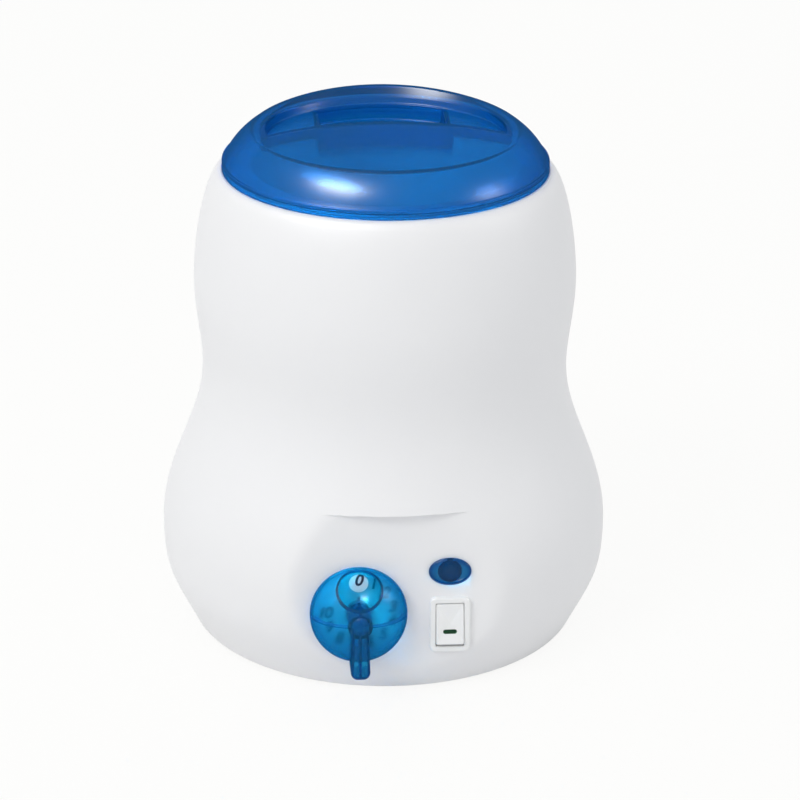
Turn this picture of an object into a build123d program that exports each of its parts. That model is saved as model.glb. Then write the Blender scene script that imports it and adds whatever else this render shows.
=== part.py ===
from build123d import *

import os
from math import cos, radians, sin

os.makedirs("parts", exist_ok=True)

# Fits and clearances shared by the pieces, and how far a cut runs past the face that it opens
fit_gap = 0.25
seat_gap = 0.1
screw_fit = 0.05
running_fit = 0.05
cut_past = 1.0

# Waisted casing: radii and heights above its lower edge, with the reach of each curve's handles;
# its foot is measured in from the belly, its waist and bulge out from the mouth
foot_proud = 1.5
wall = 2.6
base_inset = 11.0
base_flare = 9.6
base_rise = 20.0
belly_radius = 86.8
belly_height = 37.3
belly_below = 17.6
belly_above = 23.7
waist_wider = 8.3
waist_height = 104.0
waist_below = 25.7
waist_above = 10.3
bulge_wider = 11.0
bulge_height = 137.0
bulge_below = 11.8
bulge_above = 15.3
mouth_radius = 61.9
mouth_height = 180.4
shoulder_reach = 6.5
shoulder_drop = 1.1

# Mouth of the casing, where the collar drops in
collar_thickness = 2.2
lip_thickness = 2.4
lip_reach = 2.4
mouth_edge = 0.2

# Flat control face on the front
panel_setback = 12.7
panel_top = 73.0
panel_lean = 5.5
facet_depth = 25.0

# Bosses that hold the casing halves to the base and to each other
boss_radius = 4.5
base_screw_inset = 7.8
base_screw_angle = 45.0
base_boss_height = 15.0
rib_thickness = 3.0
side_boss_inset = 10.8
side_boss_z = 40.0
side_screw_seat = 12.0

# Screws
screw_radius = 1.45
screw_head_radius = 2.8
screw_head_height = 1.6
screw_head_edge = 0.5
base_screw_length = 13.0
side_screw_length = 24.0
post_screw_length = 12.0
driver_slot = 0.9
driver_reach = 3.4

# Base plate and feet
plate_thickness = 3.0
plate_recess = 0.3
foot_radius = 7.0
foot_edge = 0.6
foot_inset = 13.8
foot_angles = (20.0, 160.0, 200.0, 340.0)
peg_radius = 2.0
peg_bead = 0.5
peg_bead_height = 1.2
vent_width = 3.0
vent_length = 24.0
vent_pitch = 6.0
vent_count = 6
vent_offset = 37.0

# Collar round the mouth
collar_land = 3.7
collar_ledge = 3.4
collar_seat_depth = 1.3
skirt_thickness = 2.1
skirt_length = 9.0
hook_width = 10.0
hook_reach = 1.4
hook_height = 2.6

# Wax pot, which lifts out of the heated well
pot_wall = 1.2
pot_under = 76.4
pot_corner = 7.0
pot_flange_inset = 0.4
pot_flange = 1.2
pot_clearance = 0.6

# Heated well that hangs from the collar
well_wall = 1.6
well_flange_gap = 0.3
stud_radius = 1.5
stud_length = 8.0
stud_inset = 0.4

# Heater mat bonded round the well
mat_thickness = 1.9
mat_shorter = 50.0
mat_gap = 9.0

# Insulation, heat shield and posts under the well
jacket_gap = 2.5
jacket_thickness = 5.0
jacket_drop = 2.2
shield_drop = 15.0
shield_thickness = 0.8
shield_margin = 1.5
shield_rim = 5.0
post_radius = 4.0
post_angle = 38.0
spigot_radius = 3.0
wire_hole = 2.6

# Lid
lid_inset = 0.3
lid_rim_height = 3.7
lid_rim_step = 0.7
lid_wall = 2.0
flank_width = 10.9
crest_height = 15.0
crest_rise = 2.1
crest_edge = 2.1
dome_bow = 1.0
crest_land = 5.7
hollow_depth = 4.2
hollow_draft = 0.7
hollow_step = 2.2
lip_middle = 8.7
lip_end = 7.0
grip_width = 47.0
grip_inset = 1.0
grip_depth = 10.5
lid_seat_gap = 0.1

# Control knob and its dial
knob_x = -14.1
knob_drop = 39.0
knob_radius = 18.1
knob_skirt = 1.2
knob_rise = 14.5
knob_wall = 1.7
knob_lift = 0.6
dish_radius = 8.0
dish_offset = 12.4
dish_height = 9.5
dish_wall = 1.4
window_radius = 3.6
window_offset = 12.2
hub_radius = 4.45
web_thickness = 1.2
lever_length = 21.0
lever_neck = 5.8
lever_tip = 7.2
lever_top = 17.0
lever_tip_top = 15.5
lever_low = 4.0
lever_corner = 2.4
dial_radius = 17.2
dial_thickness = 0.8
dial_recess = 0.6
shaft_radius = 3.0
shaft_flat = 1.9
shaft_top = 12.0
ring_thickness = 0.6
ring_length = 2.0
ring_low = 1.0

# Thermostat behind the panel
pad_radius = 20.0
pad_thickness = 1.6
thermostat_width = 34.0
thermostat_height = 26.0
thermostat_depth = 18.0
thermostat_corner = 3.0
thermostat_screw_reach = 14.0
thermostat_screw_length = 8.0
shaft_hole = 4.4
shaft_engagement = 9.0
tab_width = 4.8
tab_thickness = 0.8
tab_length = 7.0
thermostat_tab_reach = 8.0

# Sensor bulb and its tube
bulb_radius = 2.5
bulb_length = 40.0
bulb_start = (-8.0, -14.0)
tube_radius = 0.8
tube_bend = 4.0
tube_join = 1.0
tube_turn_x = -14.0
tube_run = 30.1
clip_width = 8.0
clip_metal = 0.8
clip_ear = 8.0

# Thermal cut-out under the well
cutout_radius = 8.0
cutout_depth = 7.0
cutout_tab_lift = 1.5
stud_nut_radius = 3.0
stud_nut_height = 2.4
cutout_place = (-22.0, 2.0)

# Indicator lamp
lamp_x = 19.9
lamp_drop = 23.4
lens_half_width = 7.9
lens_half_height = 5.25
lens_proud = 1.4
lens_edge = 0.35
lens_rim = 0.9
lens_dish = 0.9
lens_boss_radius = 3.0
lamp_neck_radius = 4.4
lamp_neck_length = 12.0
lamp_neck_wall = 1.0
socket_length = 14.0
socket_overlap = 4.0
neon_radius = 2.1
neon_tip = 1.7
neon_depth = 1.0
nut_radius = 7.5
nut_thickness = 1.0

# Rocker switch
switch_drop = 44.3
bezel_width = 15.2
bezel_height = 21.6
bezel_proud = 2.0
bezel_corner = 2.4
bezel_edge = 0.5
switch_width = 13.0
switch_height = 19.2
switch_depth = 20.0
rocker_well_width = 10.9
rocker_well_height = 17.2
rocker_well_depth = 9.0
rocker_width = 10.4
rocker_half = 7.9
rocker_end = 2.6
rocker_middle = 1.5
rocker_depth = 3.5
rocker_pivot = 2.0
rocker_tilt = 7.0
pivot_radius = 1.0
pivot_reach = 0.8
slot_length = 5.2
slot_width = 1.6
slot_drop = 3.0
slot_depth = 1.0
switch_tab_reach = 5.5

# Cord gland, cord clamp and terminal block
gland_height = 18.0
gland_inset = 2.4
gland_radius = 6.0
gland_bore = 3.6
gland_flange_radius = 9.0
gland_flange = 3.0
gland_edge = 1.0
gland_pad_radius = 10.5
gland_wall = 7.9
gland_length = 14.4
gland_nut_radius = 9.5
gland_nut_thickness = 3.5
clamp_gap = 10.0
clamp_width = 30.0
clamp_depth = 9.0
clamp_bar = 6.0
clamp_corner = 2.2
clamp_screw_reach = 10.0
clamp_screw_length = 14.0
block_y = 14.0
block_width = 34.0
block_depth = 17.0
block_height = 13.0
block_lift = 1.0
block_inset = 1.0
block_pitch = 10.0
block_bore = 1.6

# Internal leads and the places where they turn
lead_radius = 1.1
lead_bend = 5.0
lead_x = 6.0
lead_gap = 0.2
lead_turn_y = -16.0
live_turn_y = -28.0
loop_depth = 14.0
cutout_lead_run = 32.1
heater_turn_y = 47.0
neutral_x = -30.0
neutral_turn_y = -8.0
neutral_heights = (24.5, 37.0, 49.0)

# Radii and places worked out from the sizes above
base_radius = belly_radius - base_inset
waist_radius = mouth_radius + waist_wider
bulge_radius = mouth_radius + bulge_wider
panel_reach = belly_radius - panel_setback
base_screw_circle = base_radius - base_screw_inset
side_boss_x = belly_radius - side_boss_inset
foot_circle = base_radius - foot_inset
lip_radius = mouth_radius - lip_reach
collar_radius = mouth_radius - mouth_edge
collar_seat_radius = collar_radius - collar_land
collar_bore = collar_seat_radius - collar_ledge
well_flange_radius = collar_seat_radius - well_flange_gap
well_radius = collar_bore - pot_clearance
well_bore = well_radius - well_wall
pot_flange_radius = well_flange_radius - pot_flange_inset
pot_radius = well_bore - pot_clearance - pot_wall
mat_radius = well_radius + seat_gap + mat_thickness
jacket_bore = mat_radius + jacket_gap
jacket_radius = jacket_bore + jacket_thickness
shield_radius = jacket_radius + shield_margin
post_circle = well_radius - pot_corner - stud_radius - stud_inset
post_spacing_x = 2 * post_circle * cos(radians(post_angle))
post_spacing_y = 2 * post_circle * sin(radians(post_angle))
lid_radius = mouth_radius - lid_inset
crest_radius = lid_radius - flank_width
hollow_radius = crest_radius - crest_land
lead_y = well_radius + seat_gap + lead_radius
tube_turn_y = tube_run - panel_reach
cutout_lead_y = cutout_lead_run - panel_reach
gland_seat = belly_radius - gland_inset
gland_pad_face = gland_seat - gland_wall
gland_inner_end = gland_seat - gland_length
clamp_y = gland_inner_end - clamp_gap
panel_back = wall + pad_thickness
thermostat_back = panel_back + thermostat_depth

# Heights worked out from the sizes above
plate_low = foot_proud + plate_recess
plate_top = plate_low + plate_thickness
screw_seat = plate_low + screw_head_height + seat_gap
casing_top = foot_proud + mouth_height
collar_seat = casing_top - collar_thickness
lip_under = collar_seat - lip_thickness
well_flange_low = casing_top - collar_seat_depth
pot_flange_low = casing_top + seat_gap
pot_flange_top = pot_flange_low + pot_flange
pot_height = mouth_height - pot_under
pot_low = pot_flange_top - pot_height
well_floor = pot_low - pot_clearance
well_low = well_floor - well_wall
mat_low = well_low + pot_corner
mat_height = pot_height - mat_shorter
shield_height = well_low - shield_drop
shield_top = shield_height + shield_thickness
jacket_top = collar_seat - skirt_length - jacket_drop
lid_low = casing_top + lid_seat_gap
bulb_height = well_low - seat_gap - bulb_radius

panel = Plane(
    origin=(0, -panel_reach, panel_top),
    x_dir=(1, 0, 0),
    z_dir=(0, -cos(radians(panel_lean)), sin(radians(panel_lean))),
)


def on_panel(across, drop, height=0.0):
    """A plane on the control face, across from its middle line and down from its top edge."""
    return Plane(panel.location * Location((across, -drop, height)))


def save(piece, name):
    """Labels a finished piece and writes its file."""
    piece.label = name
    export_step(piece, f"parts/{name}.step")


def place(piece, spots):
    """The same piece at each place, as one group of separate solids."""
    return Compound(children=[piece.moved(spot) for spot in spots])


def ring(inner, outer, low, high):
    """A plain turned ring, or a disc when inner is zero."""
    with BuildPart() as turned:
        with BuildSketch(Plane.XY.offset(low)):
            Circle(outer)
            if inner:
                Circle(inner, mode=Mode.SUBTRACT)
        extrude(amount=high - low)
    return turned.part


def screw(length):
    """A pan head screw, its head above the origin and its shank below, with a cross for the driver."""
    with BuildPart() as body:
        with BuildSketch(Plane.XY):
            Circle(screw_head_radius)
        extrude(amount=screw_head_height)
        fillet(body.edges().filter_by(GeomType.CIRCLE).sort_by(Axis.Z)[-1], screw_head_edge)
        with BuildSketch(Plane.XY):
            Circle(screw_radius)
        extrude(amount=-length)
        with BuildSketch(Plane.XY.offset(screw_head_height)):
            Rectangle(driver_reach, driver_slot)
            Rectangle(driver_slot, driver_reach)
        extrude(amount=-screw_head_height / 2, mode=Mode.SUBTRACT)
    return body.part


def tube_along(points, radius, bend):
    """A round tube along straight runs joined by tangent bends."""
    with BuildPart() as tube:
        with BuildLine() as route:
            FilletPolyline(*points, radius=bend)
        with BuildSketch(Plane(origin=route.line @ 0, z_dir=route.line % 0)):
            Circle(radius)
        sweep(path=route.line)
    return tube.part


def casing_section(inset):
    """Half section of the casing's waisted form, drawn in from the outside by inset."""
    low = foot_proud
    belly = low + belly_height
    waist = low + waist_height
    bulge = low + bulge_height
    with BuildSketch(Plane.XZ) as section:
        with BuildLine():
            Bezier(
                (base_radius - inset, low),
                (base_radius - inset + base_flare, low + base_rise),
                (belly_radius - inset, belly - belly_below),
                (belly_radius - inset, belly),
            )
            Bezier(
                (belly_radius - inset, belly),
                (belly_radius - inset, belly + belly_above),
                (waist_radius - inset, waist - waist_below),
                (waist_radius - inset, waist),
            )
            Bezier(
                (waist_radius - inset, waist),
                (waist_radius - inset, waist + waist_above),
                (bulge_radius - inset, bulge - bulge_below),
                (bulge_radius - inset, bulge),
            )
            Bezier(
                (bulge_radius - inset, bulge),
                (bulge_radius - inset, bulge + bulge_above),
                (mouth_radius - inset + shoulder_reach, casing_top - shoulder_drop),
                (mouth_radius - inset, casing_top),
            )
            Polyline(
                (mouth_radius - inset, casing_top),
                (0, casing_top),
                (0, low),
                (base_radius - inset, low),
            )
        make_face()
    return section.sketch


def facet_block(setback):
    """The block that clears the flat control face, set back from it by one wall for the inside."""
    with BuildPart() as block:
        with BuildSketch(Plane(panel.location * Location((0, setback, -setback)))):
            Rectangle(2 * belly_radius, panel_top + facet_depth, align=(Align.CENTER, Align.MAX))
        extrude(amount=facet_depth)
    return block.part


# Outer form of the casing, with its control face
with BuildPart() as outer_form:
    revolve(casing_section(0), axis=Axis.Z)
    add(facet_block(0), mode=Mode.SUBTRACT)

# Room inside the casing, up to the underside of its lip
with BuildPart() as inner_room:
    revolve(casing_section(wall), axis=Axis.Z)
    add(facet_block(wall), mode=Mode.SUBTRACT)
    split(bisect_by=Plane.XY.offset(lip_under), keep=Keep.BOTTOM)

# Whole casing: the wall, its lip, and the bosses and pads moulded inside it
with BuildPart() as casing:
    add(outer_form.part)
    add(inner_room.part, mode=Mode.SUBTRACT)
    add(ring(0, lip_radius, lip_under - wall, casing_top + wall), mode=Mode.SUBTRACT)
    add(ring(0, collar_radius + fit_gap / 2, collar_seat, casing_top + wall), mode=Mode.SUBTRACT)
    with BuildSketch(Plane.XY.offset(plate_top)):
        with PolarLocations(base_screw_circle, 4, start_angle=base_screw_angle):
            Circle(boss_radius)
            with Locations((facet_depth / 2, 0)):
                Rectangle(facet_depth, rib_thickness)
    extrude(amount=base_boss_height)
    with BuildSketch(Plane.XZ):
        with Locations((side_boss_x, side_boss_z), (-side_boss_x, side_boss_z)):
            Circle(boss_radius)
    extrude(amount=belly_radius / 2, both=True)
    with BuildSketch(Plane.XZ.offset(-gland_pad_face)):
        with Locations((0, gland_height)):
            Circle(gland_pad_radius)
    extrude(amount=-facet_depth)
    with BuildSketch(on_panel(knob_x, knob_drop, -panel_back)):
        Circle(pad_radius)
    extrude(amount=pad_thickness + wall / 2)
    add(outer_form.part, mode=Mode.INTERSECT)
    with BuildSketch(Plane.XY.offset(plate_top)):
        with PolarLocations(base_screw_circle, 4, start_angle=base_screw_angle):
            Circle(screw_radius + screw_fit)
    extrude(amount=base_screw_length - plate_top + screw_seat + cut_past, mode=Mode.SUBTRACT)

# Front half, with the openings for the knob, the lamp and the switch
with BuildPart() as front_shell:
    add(casing.part)
    split(bisect_by=Plane.XZ, keep=Keep.TOP)
    with BuildSketch(Plane.XZ):
        with Locations((side_boss_x, side_boss_z), (-side_boss_x, side_boss_z)):
            Circle(screw_radius + screw_fit)
    extrude(amount=side_screw_length - side_screw_seat + cut_past, mode=Mode.SUBTRACT)
    with BuildSketch(on_panel(knob_x, knob_drop, -dial_recess)):
        Circle(dial_radius + seat_gap)
    extrude(amount=dial_recess + cut_past, mode=Mode.SUBTRACT)
    with BuildSketch(on_panel(knob_x, knob_drop, -panel_back)):
        Circle(shaft_hole)
        with Locations((thermostat_screw_reach, 0), (-thermostat_screw_reach, 0)):
            Circle(screw_radius + fit_gap)
    extrude(amount=panel_back + cut_past, mode=Mode.SUBTRACT)
    with BuildSketch(on_panel(knob_x, knob_drop, -dial_recess - screw_head_height)):
        with Locations((thermostat_screw_reach, 0), (-thermostat_screw_reach, 0)):
            Circle(screw_head_radius + fit_gap)
    extrude(amount=screw_head_height + cut_past, mode=Mode.SUBTRACT)
    with BuildSketch(on_panel(lamp_x, lamp_drop, -wall - cut_past)):
        Circle(lamp_neck_radius + seat_gap)
    extrude(amount=wall + 2 * cut_past, mode=Mode.SUBTRACT)
    with BuildSketch(on_panel(lamp_x, switch_drop, -panel_back - cut_past)):
        Rectangle(switch_width + 2 * seat_gap, switch_height + 2 * seat_gap)
    extrude(amount=panel_back + 2 * cut_past, mode=Mode.SUBTRACT)

# Rear half, with its screw recesses and the seat for the cord gland
with BuildPart() as rear_shell:
    add(casing.part)
    split(bisect_by=Plane.XZ, keep=Keep.BOTTOM)
    with BuildSketch(Plane.XZ):
        with Locations((side_boss_x, side_boss_z), (-side_boss_x, side_boss_z)):
            Circle(screw_radius + fit_gap)
    extrude(amount=-side_screw_seat, mode=Mode.SUBTRACT)
    with BuildSketch(Plane.XZ.offset(-side_screw_seat)):
        with Locations((side_boss_x, side_boss_z), (-side_boss_x, side_boss_z)):
            Circle(screw_head_radius + fit_gap)
    extrude(amount=-belly_radius, mode=Mode.SUBTRACT)
    with BuildSketch(Plane.XZ.offset(-gland_inner_end)):
        with Locations((0, gland_height)):
            Circle(gland_radius + seat_gap)
    extrude(amount=-facet_depth, mode=Mode.SUBTRACT)
    with BuildSketch(Plane.XZ.offset(-gland_seat)):
        with Locations((0, gland_height)):
            Circle(gland_flange_radius + fit_gap)
    extrude(amount=-facet_depth, mode=Mode.SUBTRACT)

save(front_shell.part, "front_shell")
save(rear_shell.part, "rear_shell")

# Base plate with its air slots, screw recesses and the lower half of the cord clamp
vent_places = [
    (side * (vent_offset - vent_pitch * (vent_count - 1) / 2 + vent_pitch * step), 0)
    for side in (-1, 1)
    for step in range(vent_count)
]
with BuildPart() as base_plate:
    with BuildSketch(Plane.XY.offset(plate_low)):
        Circle(base_radius - wall - fit_gap)
        with Locations(*vent_places):
            SlotOverall(vent_length, vent_width, rotation=90, mode=Mode.SUBTRACT)
        with PolarLocations(base_screw_circle, 4, start_angle=base_screw_angle):
            Circle(screw_radius + fit_gap, mode=Mode.SUBTRACT)
        with GridLocations(post_spacing_x, post_spacing_y, 2, 2):
            Circle(screw_radius + fit_gap, mode=Mode.SUBTRACT)
        for angle in foot_angles:
            with PolarLocations(foot_circle, 1, start_angle=angle):
                Circle(peg_radius + seat_gap, mode=Mode.SUBTRACT)
    extrude(amount=plate_thickness)
    with BuildSketch(Plane.XY.offset(plate_low)):
        with PolarLocations(base_screw_circle, 4, start_angle=base_screw_angle):
            Circle(screw_head_radius + fit_gap)
        with GridLocations(post_spacing_x, post_spacing_y, 2, 2):
            Circle(screw_head_radius + fit_gap)
    extrude(amount=screw_head_height + seat_gap, mode=Mode.SUBTRACT)
    with BuildSketch(Plane.XY.offset(plate_top)):
        with Locations((0, clamp_y)):
            Rectangle(clamp_width, clamp_depth)
    extrude(amount=gland_height - seat_gap - plate_top)
    with BuildSketch(Plane.XZ.offset(-clamp_y + clamp_depth)):
        with Locations((0, gland_height)):
            Circle(gland_bore)
    extrude(amount=-2 * clamp_depth, mode=Mode.SUBTRACT)
    with BuildSketch(Plane.XY.offset(gland_height)):
        with Locations((clamp_screw_reach, clamp_y), (-clamp_screw_reach, clamp_y)):
            Circle(screw_radius + screw_fit)
    extrude(amount=clamp_bar - clamp_screw_length - cut_past, mode=Mode.SUBTRACT)
    with BuildSketch(Plane.XY.offset(plate_top)):
        with Locations((0, block_y)):
            Rectangle(block_width - 2 * block_inset, block_depth - 2 * block_inset)
    extrude(amount=block_lift)
save(base_plate.part, "base_plate")

# Rubber feet, pressed in by a peg with a bead
with BuildPart() as foot:
    with BuildSketch(Plane.XY):
        Circle(foot_radius)
    extrude(amount=plate_low)
    chamfer(foot.edges().filter_by(GeomType.CIRCLE).sort_by(Axis.Z)[0], foot_edge)
    with BuildSketch(Plane.XY.offset(plate_low)):
        Circle(peg_radius)
    extrude(amount=plate_thickness + seat_gap)
    with BuildSketch(Plane.XY.offset(plate_top + seat_gap)):
        Circle(peg_radius + peg_bead)
    extrude(amount=peg_bead_height)
foot_places = [
    Location((foot_circle * cos(radians(angle)), foot_circle * sin(radians(angle)), 0))
    for angle in foot_angles
]
save(place(foot.part, foot_places), "feet")

# Screws from below into the casing's bosses and into the posts
up = Rotation(180, 0, 0)
base_screw_places = [
    Rotation(0, 0, base_screw_angle + 90 * turn) * Location((base_screw_circle, 0, screw_seat)) * up
    for turn in range(4)
]
save(place(screw(base_screw_length), base_screw_places), "base_screws")
post_places = [
    (side_x * post_spacing_x / 2, side_y * post_spacing_y / 2)
    for side_x in (-1, 1)
    for side_y in (-1, 1)
]
post_screw_places = [Location((x, y, screw_seat)) * up for x, y in post_places]
save(place(screw(post_screw_length), post_screw_places), "post_screws")

# Screws from behind that pull the casing halves together
side_screw_places = [
    Location((side * side_boss_x, side_screw_seat, side_boss_z)) * Rotation(-90, 0, 0) for side in (-1, 1)
]
save(place(screw(side_screw_length), side_screw_places), "shell_screws")

# White collar that drops into the mouth, carries the well and hooks under the casing's lip
skirt_outer = lip_radius - fit_gap / 2
with BuildPart() as top_collar:
    with BuildSketch(Plane.XZ):
        with BuildLine():
            Polyline(
                (collar_seat_radius, casing_top),
                (collar_radius, casing_top),
                (collar_radius, collar_seat),
                (skirt_outer, collar_seat),
                (skirt_outer, collar_seat - skirt_length),
                (skirt_outer - skirt_thickness, collar_seat - skirt_length),
                (skirt_outer - skirt_thickness, lip_under),
                (collar_bore, lip_under),
                (collar_bore, well_flange_low),
                (collar_seat_radius, well_flange_low),
                close=True,
            )
        make_face()
    revolve(axis=Axis.Z)
    with BuildSketch(Plane.XY.offset(lip_under - seat_gap)):
        with PolarLocations(skirt_outer + hook_reach / 2 - skirt_thickness / 4, 4):
            Rectangle(hook_reach + skirt_thickness / 2, hook_width)
    extrude(amount=-hook_height)
save(top_collar.part, "top_collar")


def lowest_corner(section, radius):
    """The lowest corner of a half section at a radius."""
    return section.vertices().filter_by_position(Axis.X, radius, radius).sort_by(Axis.Y)[0]


# Short studs under the well, for the bulb's clip and for the cut-out's ears
bulb_x, bulb_y = bulb_start
clip_stud_x = bulb_x + bulb_length / 2
clip_reach = bulb_radius + clip_metal + clip_ear / 2
clip_studs = [(clip_stud_x, bulb_y + side * clip_reach) for side in (1, -1)]
cutout_x, cutout_y = cutout_place
cutout_reach = cutout_radius + clip_ear / 2
cutout_studs = [(cutout_x + side * cutout_reach, cutout_y) for side in (1, -1)]

# Heated well, spun in aluminium, with welded studs under its floor
with BuildPart() as heating_well:
    with BuildSketch(Plane.XZ) as well_section:
        with BuildLine():
            Polyline(
                (0, well_low),
                (well_radius, well_low),
                (well_radius, well_flange_low),
                (well_flange_radius, well_flange_low),
                (well_flange_radius, casing_top),
                (well_bore, casing_top),
                (well_bore, well_floor),
                (0, well_floor),
                close=True,
            )
        make_face()
        fillet(lowest_corner(well_section, well_radius), pot_corner)
        fillet(lowest_corner(well_section, well_bore), pot_corner - well_wall)
    revolve(axis=Axis.Z)
    with BuildSketch(Plane.XY.offset(well_low)):
        with GridLocations(post_spacing_x, post_spacing_y, 2, 2):
            Circle(stud_radius)
    extrude(amount=-stud_length)
    with BuildSketch(Plane.XY.offset(well_low)):
        with Locations(*clip_studs, *cutout_studs):
            Circle(stud_radius)
    extrude(amount=-stud_length / 2)
save(heating_well.part, "heating_well")

# Wax pot, a plain drawn can with a flat flange that hangs on the well's flange
with BuildPart() as wax_pot:
    with BuildSketch(Plane.XZ) as pot_section:
        with BuildLine():
            Polyline(
                (0, pot_low),
                (pot_radius + pot_wall, pot_low),
                (pot_radius + pot_wall, pot_flange_low),
                (pot_flange_radius, pot_flange_low),
                (pot_flange_radius, pot_flange_top),
                (pot_radius, pot_flange_top),
                (pot_radius, pot_low + pot_wall),
                (0, pot_low + pot_wall),
                close=True,
            )
        make_face()
        fillet(lowest_corner(pot_section, pot_radius + pot_wall), pot_corner)
        fillet(lowest_corner(pot_section, pot_radius), pot_corner - pot_wall)
    revolve(axis=Axis.Z)
save(wax_pot.part, "wax_pot")

# Heater mat, wrapped round the well and open at the back
with BuildPart() as heater_mat:
    add(ring(well_radius + seat_gap, mat_radius, mat_low, mat_low + mat_height))
    with BuildSketch(Plane.XY.offset(mat_low)):
        with Locations((0, mat_radius)):
            Rectangle(mat_gap, mat_radius)
    extrude(amount=mat_height, mode=Mode.SUBTRACT)
save(heater_mat.part, "heater_mat")

# Glass fibre jacket that stands on the heat shield round the well
save(ring(jacket_bore, jacket_radius, shield_top + seat_gap, jacket_top), "insulation_jacket")

# Heat shield between the well and the controls, with a turned down rim and holes for posts and leads
with BuildPart() as heat_shield:
    add(ring(0, shield_radius, shield_height, shield_top))
    add(ring(shield_radius - shield_thickness, shield_radius, shield_height - shield_rim, shield_height))
    with BuildSketch(Plane.XY.offset(shield_height)):
        with GridLocations(post_spacing_x, post_spacing_y, 2, 2):
            Circle(spigot_radius + seat_gap)
        with Locations((-lead_x, lead_y), (lead_x, lead_y)):
            Circle(wire_hole)
        with Locations((cutout_x, cutout_lead_y), (tube_turn_x, tube_turn_y)):
            Circle(wire_hole)
    extrude(amount=shield_thickness, mode=Mode.SUBTRACT)
save(heat_shield.part, "heat_shield")

# Posts from the base plate through the shield to the well, threaded at both ends
with BuildPart() as post:
    add(ring(0, post_radius, plate_top, shield_height))
    add(ring(0, spigot_radius, shield_height, well_low))
    with BuildSketch(Plane.XY.offset(plate_top)):
        Circle(screw_radius + screw_fit)
    extrude(amount=post_screw_length, mode=Mode.SUBTRACT)
    with BuildSketch(Plane.XY.offset(well_low)):
        Circle(stud_radius + screw_fit)
    extrude(amount=-stud_length - cut_past, mode=Mode.SUBTRACT)
save(place(post.part, [Location((x, y, 0)) for x, y in post_places]), "support_posts")


# Lid: a low dome whose crest rises to the back, a hollow behind a curved lip, and a finger grip
def lid_dome(inset):
    """The lid's dome as a solid, drawn in from the outside by inset, its crest high all round."""
    rim = lid_radius - inset
    rim_top = lid_low + lid_rim_height - inset
    crest = lid_low + crest_height - inset
    crest_out = crest_radius - inset / 2
    with BuildPart() as dome:
        with BuildSketch(Plane.XZ):
            with BuildLine():
                Polyline((rim, lid_low), (rim, rim_top), (rim - lid_rim_step, rim_top))
                SagittaArc((rim - lid_rim_step, rim_top), (crest_out, crest), -dome_bow)
                Polyline(
                    (crest_out, crest),
                    (crest_out - crest_rise / 2, crest + crest_rise),
                    (0, crest + crest_rise),
                    (0, lid_low),
                    (rim, lid_low),
                )
            make_face()
        revolve(axis=Axis.Z)
    return dome.part


def lid_hollow(grow):
    """The hollow behind the lip and the finger grip in it, grown by the wall for the underside."""
    floor = lid_low + crest_height - hollow_depth - grow
    crest = lid_low + crest_height + crest_rise - grow
    above = crest + crest_height
    reach = hollow_radius + grow
    step_out = reach + hollow_draft
    rim_in = crest_radius - crest_edge + grow
    with BuildSketch(Plane.XY) as behind_lip:
        with BuildLine():
            ThreePointArc((-reach, -lip_end - grow), (0, lip_middle - grow), (reach, -lip_end - grow))
            Polyline(
                (reach, -lip_end - grow),
                (2 * reach, -lip_end - grow),
                (2 * reach, 2 * reach),
                (-2 * reach, 2 * reach),
                (-2 * reach, -lip_end - grow),
                (-reach, -lip_end - grow),
            )
        make_face()
    with BuildSketch(Plane.XY) as grip:
        Circle(reach - grip_inset)
        Rectangle(grip_width + 2 * grow, 2 * reach, mode=Mode.INTERSECT)
        add(behind_lip.sketch, mode=Mode.INTERSECT)
    with BuildPart() as room:
        with BuildSketch(Plane.XZ):
            Polygon(
                (0, floor),
                (reach, floor),
                (step_out, floor + hollow_step),
                (rim_in, crest),
                (rim_in, above),
                (0, above),
                align=None,
            )
        revolve(axis=Axis.Z)
        extrude(Plane.XY.offset(floor) * behind_lip.sketch, amount=above - floor, mode=Mode.INTERSECT)
        extrude(Plane.XY.offset(crest - crest_rise - grip_depth) * grip.sketch, amount=grip_depth)
    return room.part


with BuildPart() as lid:
    crest_low = lid_low + crest_height
    crest_high = crest_low + crest_rise
    add(lid_dome(0))
    with BuildSketch(Plane.YZ):
        with BuildLine():
            Bezier(
                (0, crest_low),
                (crest_radius / 3, crest_low),
                (2 * crest_radius / 3, crest_low),
                (crest_radius, crest_high),
            )
            Polyline(
                (crest_radius, crest_high),
                (crest_radius, crest_high + lid_wall),
                (-lid_radius, crest_high + lid_wall),
                (-lid_radius, crest_low),
                (0, crest_low),
            )
        make_face()
    extrude(amount=lid_radius, both=True, mode=Mode.SUBTRACT)
    add(lid_hollow(0), mode=Mode.SUBTRACT)
    with BuildPart(mode=Mode.PRIVATE) as under_room:
        add(lid_dome(lid_wall))
        split(bisect_by=Plane.XY.offset(crest_low - lid_wall), keep=Keep.BOTTOM)
        add(lid_hollow(lid_wall), mode=Mode.SUBTRACT)
    add(under_room.part, mode=Mode.SUBTRACT)
save(lid.part, "lid")


# Control knob: a hollow dome with a round window, a dish round it, and a lever across the front
def knob_dome(inset):
    """Half an ellipsoid on a short skirt, drawn in by inset."""
    reach = knob_radius - inset
    rise = knob_rise - inset
    low = knob_lift + knob_skirt
    with BuildPart() as dome:
        with BuildSketch(Plane.XZ):
            with BuildLine():
                EllipticalCenterArc((0, low), reach, rise, arc_size=90)
                Polyline((0, low + rise), (0, knob_lift), (reach, knob_lift), (reach, low))
            make_face()
        revolve(axis=Axis.Z)
    return dome.part


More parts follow.
